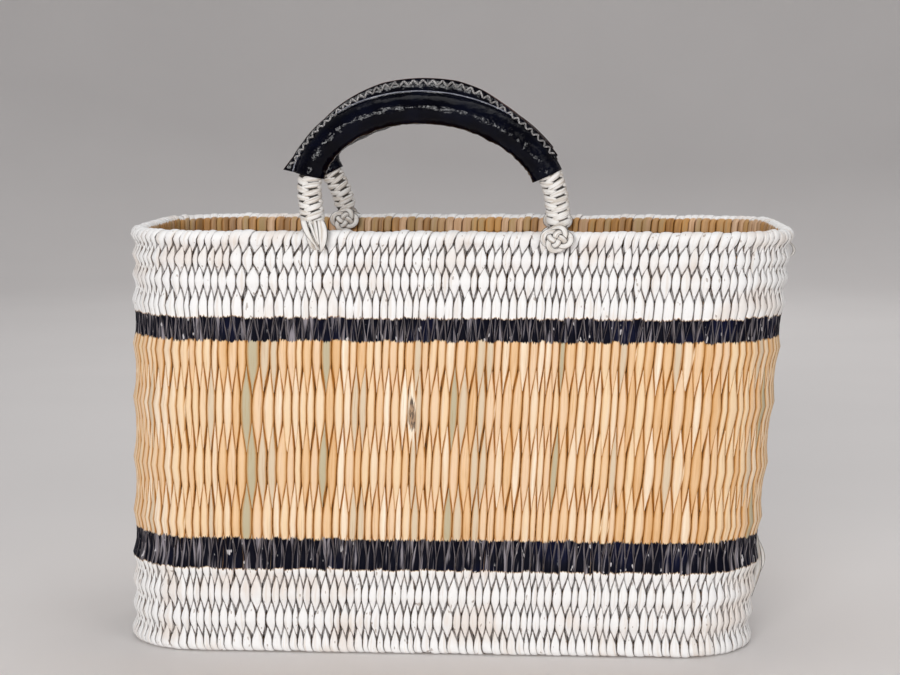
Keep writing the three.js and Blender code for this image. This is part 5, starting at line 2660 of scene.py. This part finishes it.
@dataclass
class Studio:
    """Pale floor that rises into a round backdrop, soft lamps and the camera at the photograph's angle."""

    floor_radius: float = 2.4
    wall_radius: float = 3.6
    wall_height: float = 2.6
    camera_place: Triple = (0.0675, -1.300, 0.3483)
    camera_yaw: float = 0.057
    camera_pitch: float = 0.1192
    lens: float = 78.86
    sensor: float = 36.0
    lamp_aim: Triple = (0.0, 0.0, 0.16)
    floor_sides: int = 64
    bend_steps: int = 12
    floor_tones: tuple[Colour, Colour] = (srgb(228, 224, 222), srgb(236, 232, 230))
    air_tone: Colour = srgb(242, 245, 250)
    air_strength: float = 0.28

    def build(self) -> None:
        """Makes the floor, the lamps, the world and the camera."""
        self.floor()
        self.lamp("key", (-0.5, -2.6, 0.8), (1.1, 0.4), 8.0, KEY_SPREAD)
        self.lamp("fill", (1.7, -1.9, 1.1), (1.4, 1.4), 9.0)
        self.lamp("top", (0.1, 0.2, 2.3), (1.8, 1.8), 14.0)
        self.lamp("back", (0.2, 2.3, 1.5), (1.6, 1.0), 11.0)
        self.world()
        self.camera()

    def floor(self) -> None:
        """Floor and backdrop as one round sweep."""
        profile = [(0.0, 0.0), (self.floor_radius * 0.5, 0.0), (self.floor_radius, 0.0)]
        bend = self.wall_radius - self.floor_radius
        for step in range(1, self.bend_steps + 1):
            turn = math.radians(90.0 * step / self.bend_steps)
            profile.append((self.floor_radius + bend * math.sin(turn), bend * (1.0 - math.cos(turn))))
        profile.append((self.wall_radius, self.wall_height))
        sides = self.floor_sides
        points = [(0.0, 0.0, 0.0)]
        for radius, height in profile[1:]:
            for k in range(sides):
                turn = TAU * k / sides
                points.append((radius * math.cos(turn), radius * math.sin(turn), height))
        faces: Faces = [(0, 1 + k, 1 + (k + 1) % sides) for k in range(sides)]
        for ring in range(len(profile) - 2):
            near = 1 + ring * sides
            for k in range(sides):
                after = (k + 1) % sides
                faces.append((near + k, near + sides + k, near + sides + after, near + after))
        floor = mesh_object("studio_floor", points, faces)
        made, sketch, surface = new_material("pale_floor")
        cloud = sketch.noise(sketch.place(), 3.0, 2.0)
        sketch.feed(surface.inputs["Base Color"], sketch.tone(cloud, *self.floor_tones))
        surface.inputs["Roughness"].default_value = 0.8
        surface.inputs["Specular IOR Level"].default_value = 0.2
        floor.data.materials.append(made)

    def lamp(
        self,
        name: str,
        place: Triple,
        size: Pair,
        power: float,
        spread: float = WIDE_SPREAD,
    ) -> None:
        """Adds a soft rectangular lamp that faces the basket.

        Args:
            name: Name of the lamp.
            place: Its place.
            size: Its width and height.
            power: Its power in watts.
            spread: Angle of its beam.
        """
        data = bpy.data.lights.new(name, "AREA")
        data.shape = "RECTANGLE"
        data.size = size[0]
        data.size_y = size[1]
        data.energy = power
        data.spread = spread
        lamp = linked(f"{name}_lamp", data)
        lamp.location = place
        aim = Vector(self.lamp_aim) - Vector(place)
        lamp.rotation_euler = aim.to_track_quat("-Z", "Y").to_euler()

    def world(self) -> None:
        """Even pale light from all round."""
        world = bpy.data.worlds.new("studio_air")
        world.use_nodes = True
        backdrop = world.node_tree.nodes["Background"]
        backdrop.inputs["Color"].default_value = self.air_tone
        backdrop.inputs["Strength"].default_value = self.air_strength
        bpy.context.scene.world = world

    def camera(self) -> None:
        """Camera that sees the basket as the photograph does."""
        data = bpy.data.cameras.new("camera")
        data.lens = self.lens
        data.sensor_width = self.sensor
        data.sensor_fit = "HORIZONTAL"
        data.clip_end = 50.0
        camera = linked("camera", data)
        camera.location = self.camera_place
        camera.rotation_euler = (math.pi / 2.0 - self.camera_pitch, 0.0, self.camera_yaw)
        bpy.context.scene.camera = camera


@dataclass
class HandleKit:
    """Makers and materials that both handles are built with."""

    shape: WallShape
    cords: CordMaker
    copies: CopyMaker
    fibre: Material
    strip: Material
    leather: Material
    thread: Material

    def build(self, name: str, front: int, lean: float, splay: float) -> list[Object]:
        """Makes one handle with its grip, rope, wraps and lashings.

        Args:
            name: Name of the handle, front or back.
            front: 1 for the front handle, -1 for the back one.
            lean: How far its top is set to the right.
            splay: How far its left leg bows out.

        Returns:
            The handle's pieces.
        """
        low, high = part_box(f"{name}_handle_core")
        path = HandleShape(name, (low.y + high.y) / 2.0, -float(front), lean, splay)
        grip = LeatherGrip(path, seed=3.0 + front, start=14.0 if front > 0 else 9.0)
        pieces = [grip.build(self.leather), grip.stitches(self.copies, self.thread)]
        pieces += RopeCore(path, self.cords).build(self.fibre, self.strip)
        pieces += LegWraps(path, self.copies).build(self.strip)
        for side, label in ((-1, "left"), (1, "right")):
            for outside, face in ((True, "outer"), (False, "inner")):
                node = f"{name}_{label}_{face}_lashing"
                is_tongue = node == "front_left_outer_lashing"
                style = LashingStyle.TONGUE if is_tongue else LashingStyle.KNOT
                lashing = Lashing(self.shape, node, style, path.leg(side, 0.0).x, front, outside)
                pieces.append(lashing.build(self.strip))
        return pieces


def paint_bands() -> tuple[PaintBand, ...]:
    """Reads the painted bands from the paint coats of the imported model.

    Returns:
        The four bands, from the lowest.
    """
    white = {
        "fresh": srgb(245, 244, 243), "worn": srgb(226, 216, 206), "seam": srgb(70, 47, 32),
        "stain": srgb(224, 206, 190), "wear": 0.5, "stain_share": 0.4, "roughness": 0.72,
        "fleck": srgb(150, 132, 118), "fleck_share": 0.6,
    }
    navy = {
        "fresh": srgb(2, 3, 18), "worn": srgb(146, 140, 146), "seam": srgb(138, 130, 132),
        "stain": srgb(8, 14, 46), "wear": 1.0, "stain_share": 0.6, "roughness": 0.62,
        "fleck": srgb(206, 202, 204), "fleck_share": 0.9,
    }
    names = ("lower_white_paint", "lower_navy_paint", "upper_navy_paint", "upper_white_paint")
    paint = [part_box(name) for name in names]
    return (
        PaintBand(-0.01, paint[0][1].z, **white),
        PaintBand(paint[1][0].z, paint[1][1].z, **navy),
        PaintBand(paint[2][0].z, paint[2][1].z, **navy),
        PaintBand(paint[3][0].z, 0.3, **white),
    )


def main() -> None:
    """Builds the basket piece by piece."""
    logging.basicConfig(level=logging.INFO, format="%(message)s")
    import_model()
    bpy.context.scene.view_settings.view_transform = "Standard"
    Studio().build()
    shape = WallShape.from_frame()
    reed_shapes = ReedShapes()
    wall_finish = ReedFinish("painted_reed", paint_bands(), shape.rows[-1]).material()
    pieces = WovenWall(shape).build(reed_shapes, wall_finish)
    pieces.append(BaseMat(shape).build(reed_shapes, ReedFinish("bare_reed").material()))
    cords = CordMaker()
    copies = CopyMaker()
    fibre = FibreFinish("brown_fibre", srgb(176, 134, 84), srgb(104, 70, 38)).material()
    strip = StripFinish("white_strip").material()
    leather = LeatherFinish("navy_leather_skin").material()
    thread = ThreadFinish("waxed_thread").material()
    pieces += InnerCords(shape, cords).build(fibre)
    kit = HandleKit(shape, cords, copies, fibre, strip, leather, thread)
    pieces += kit.build("front", 1, -9.0 * MM, 0.0)
    pieces += kit.build("back", -1, -15.0 * MM, 14.5 * MM)
    pieces.append(LooseReeds(shape).build(strip))
    for piece in pieces:
        LOG.info("%s: %d faces", piece.name, len(piece.data.polygons))


if __name__ == "__main__":
    main()
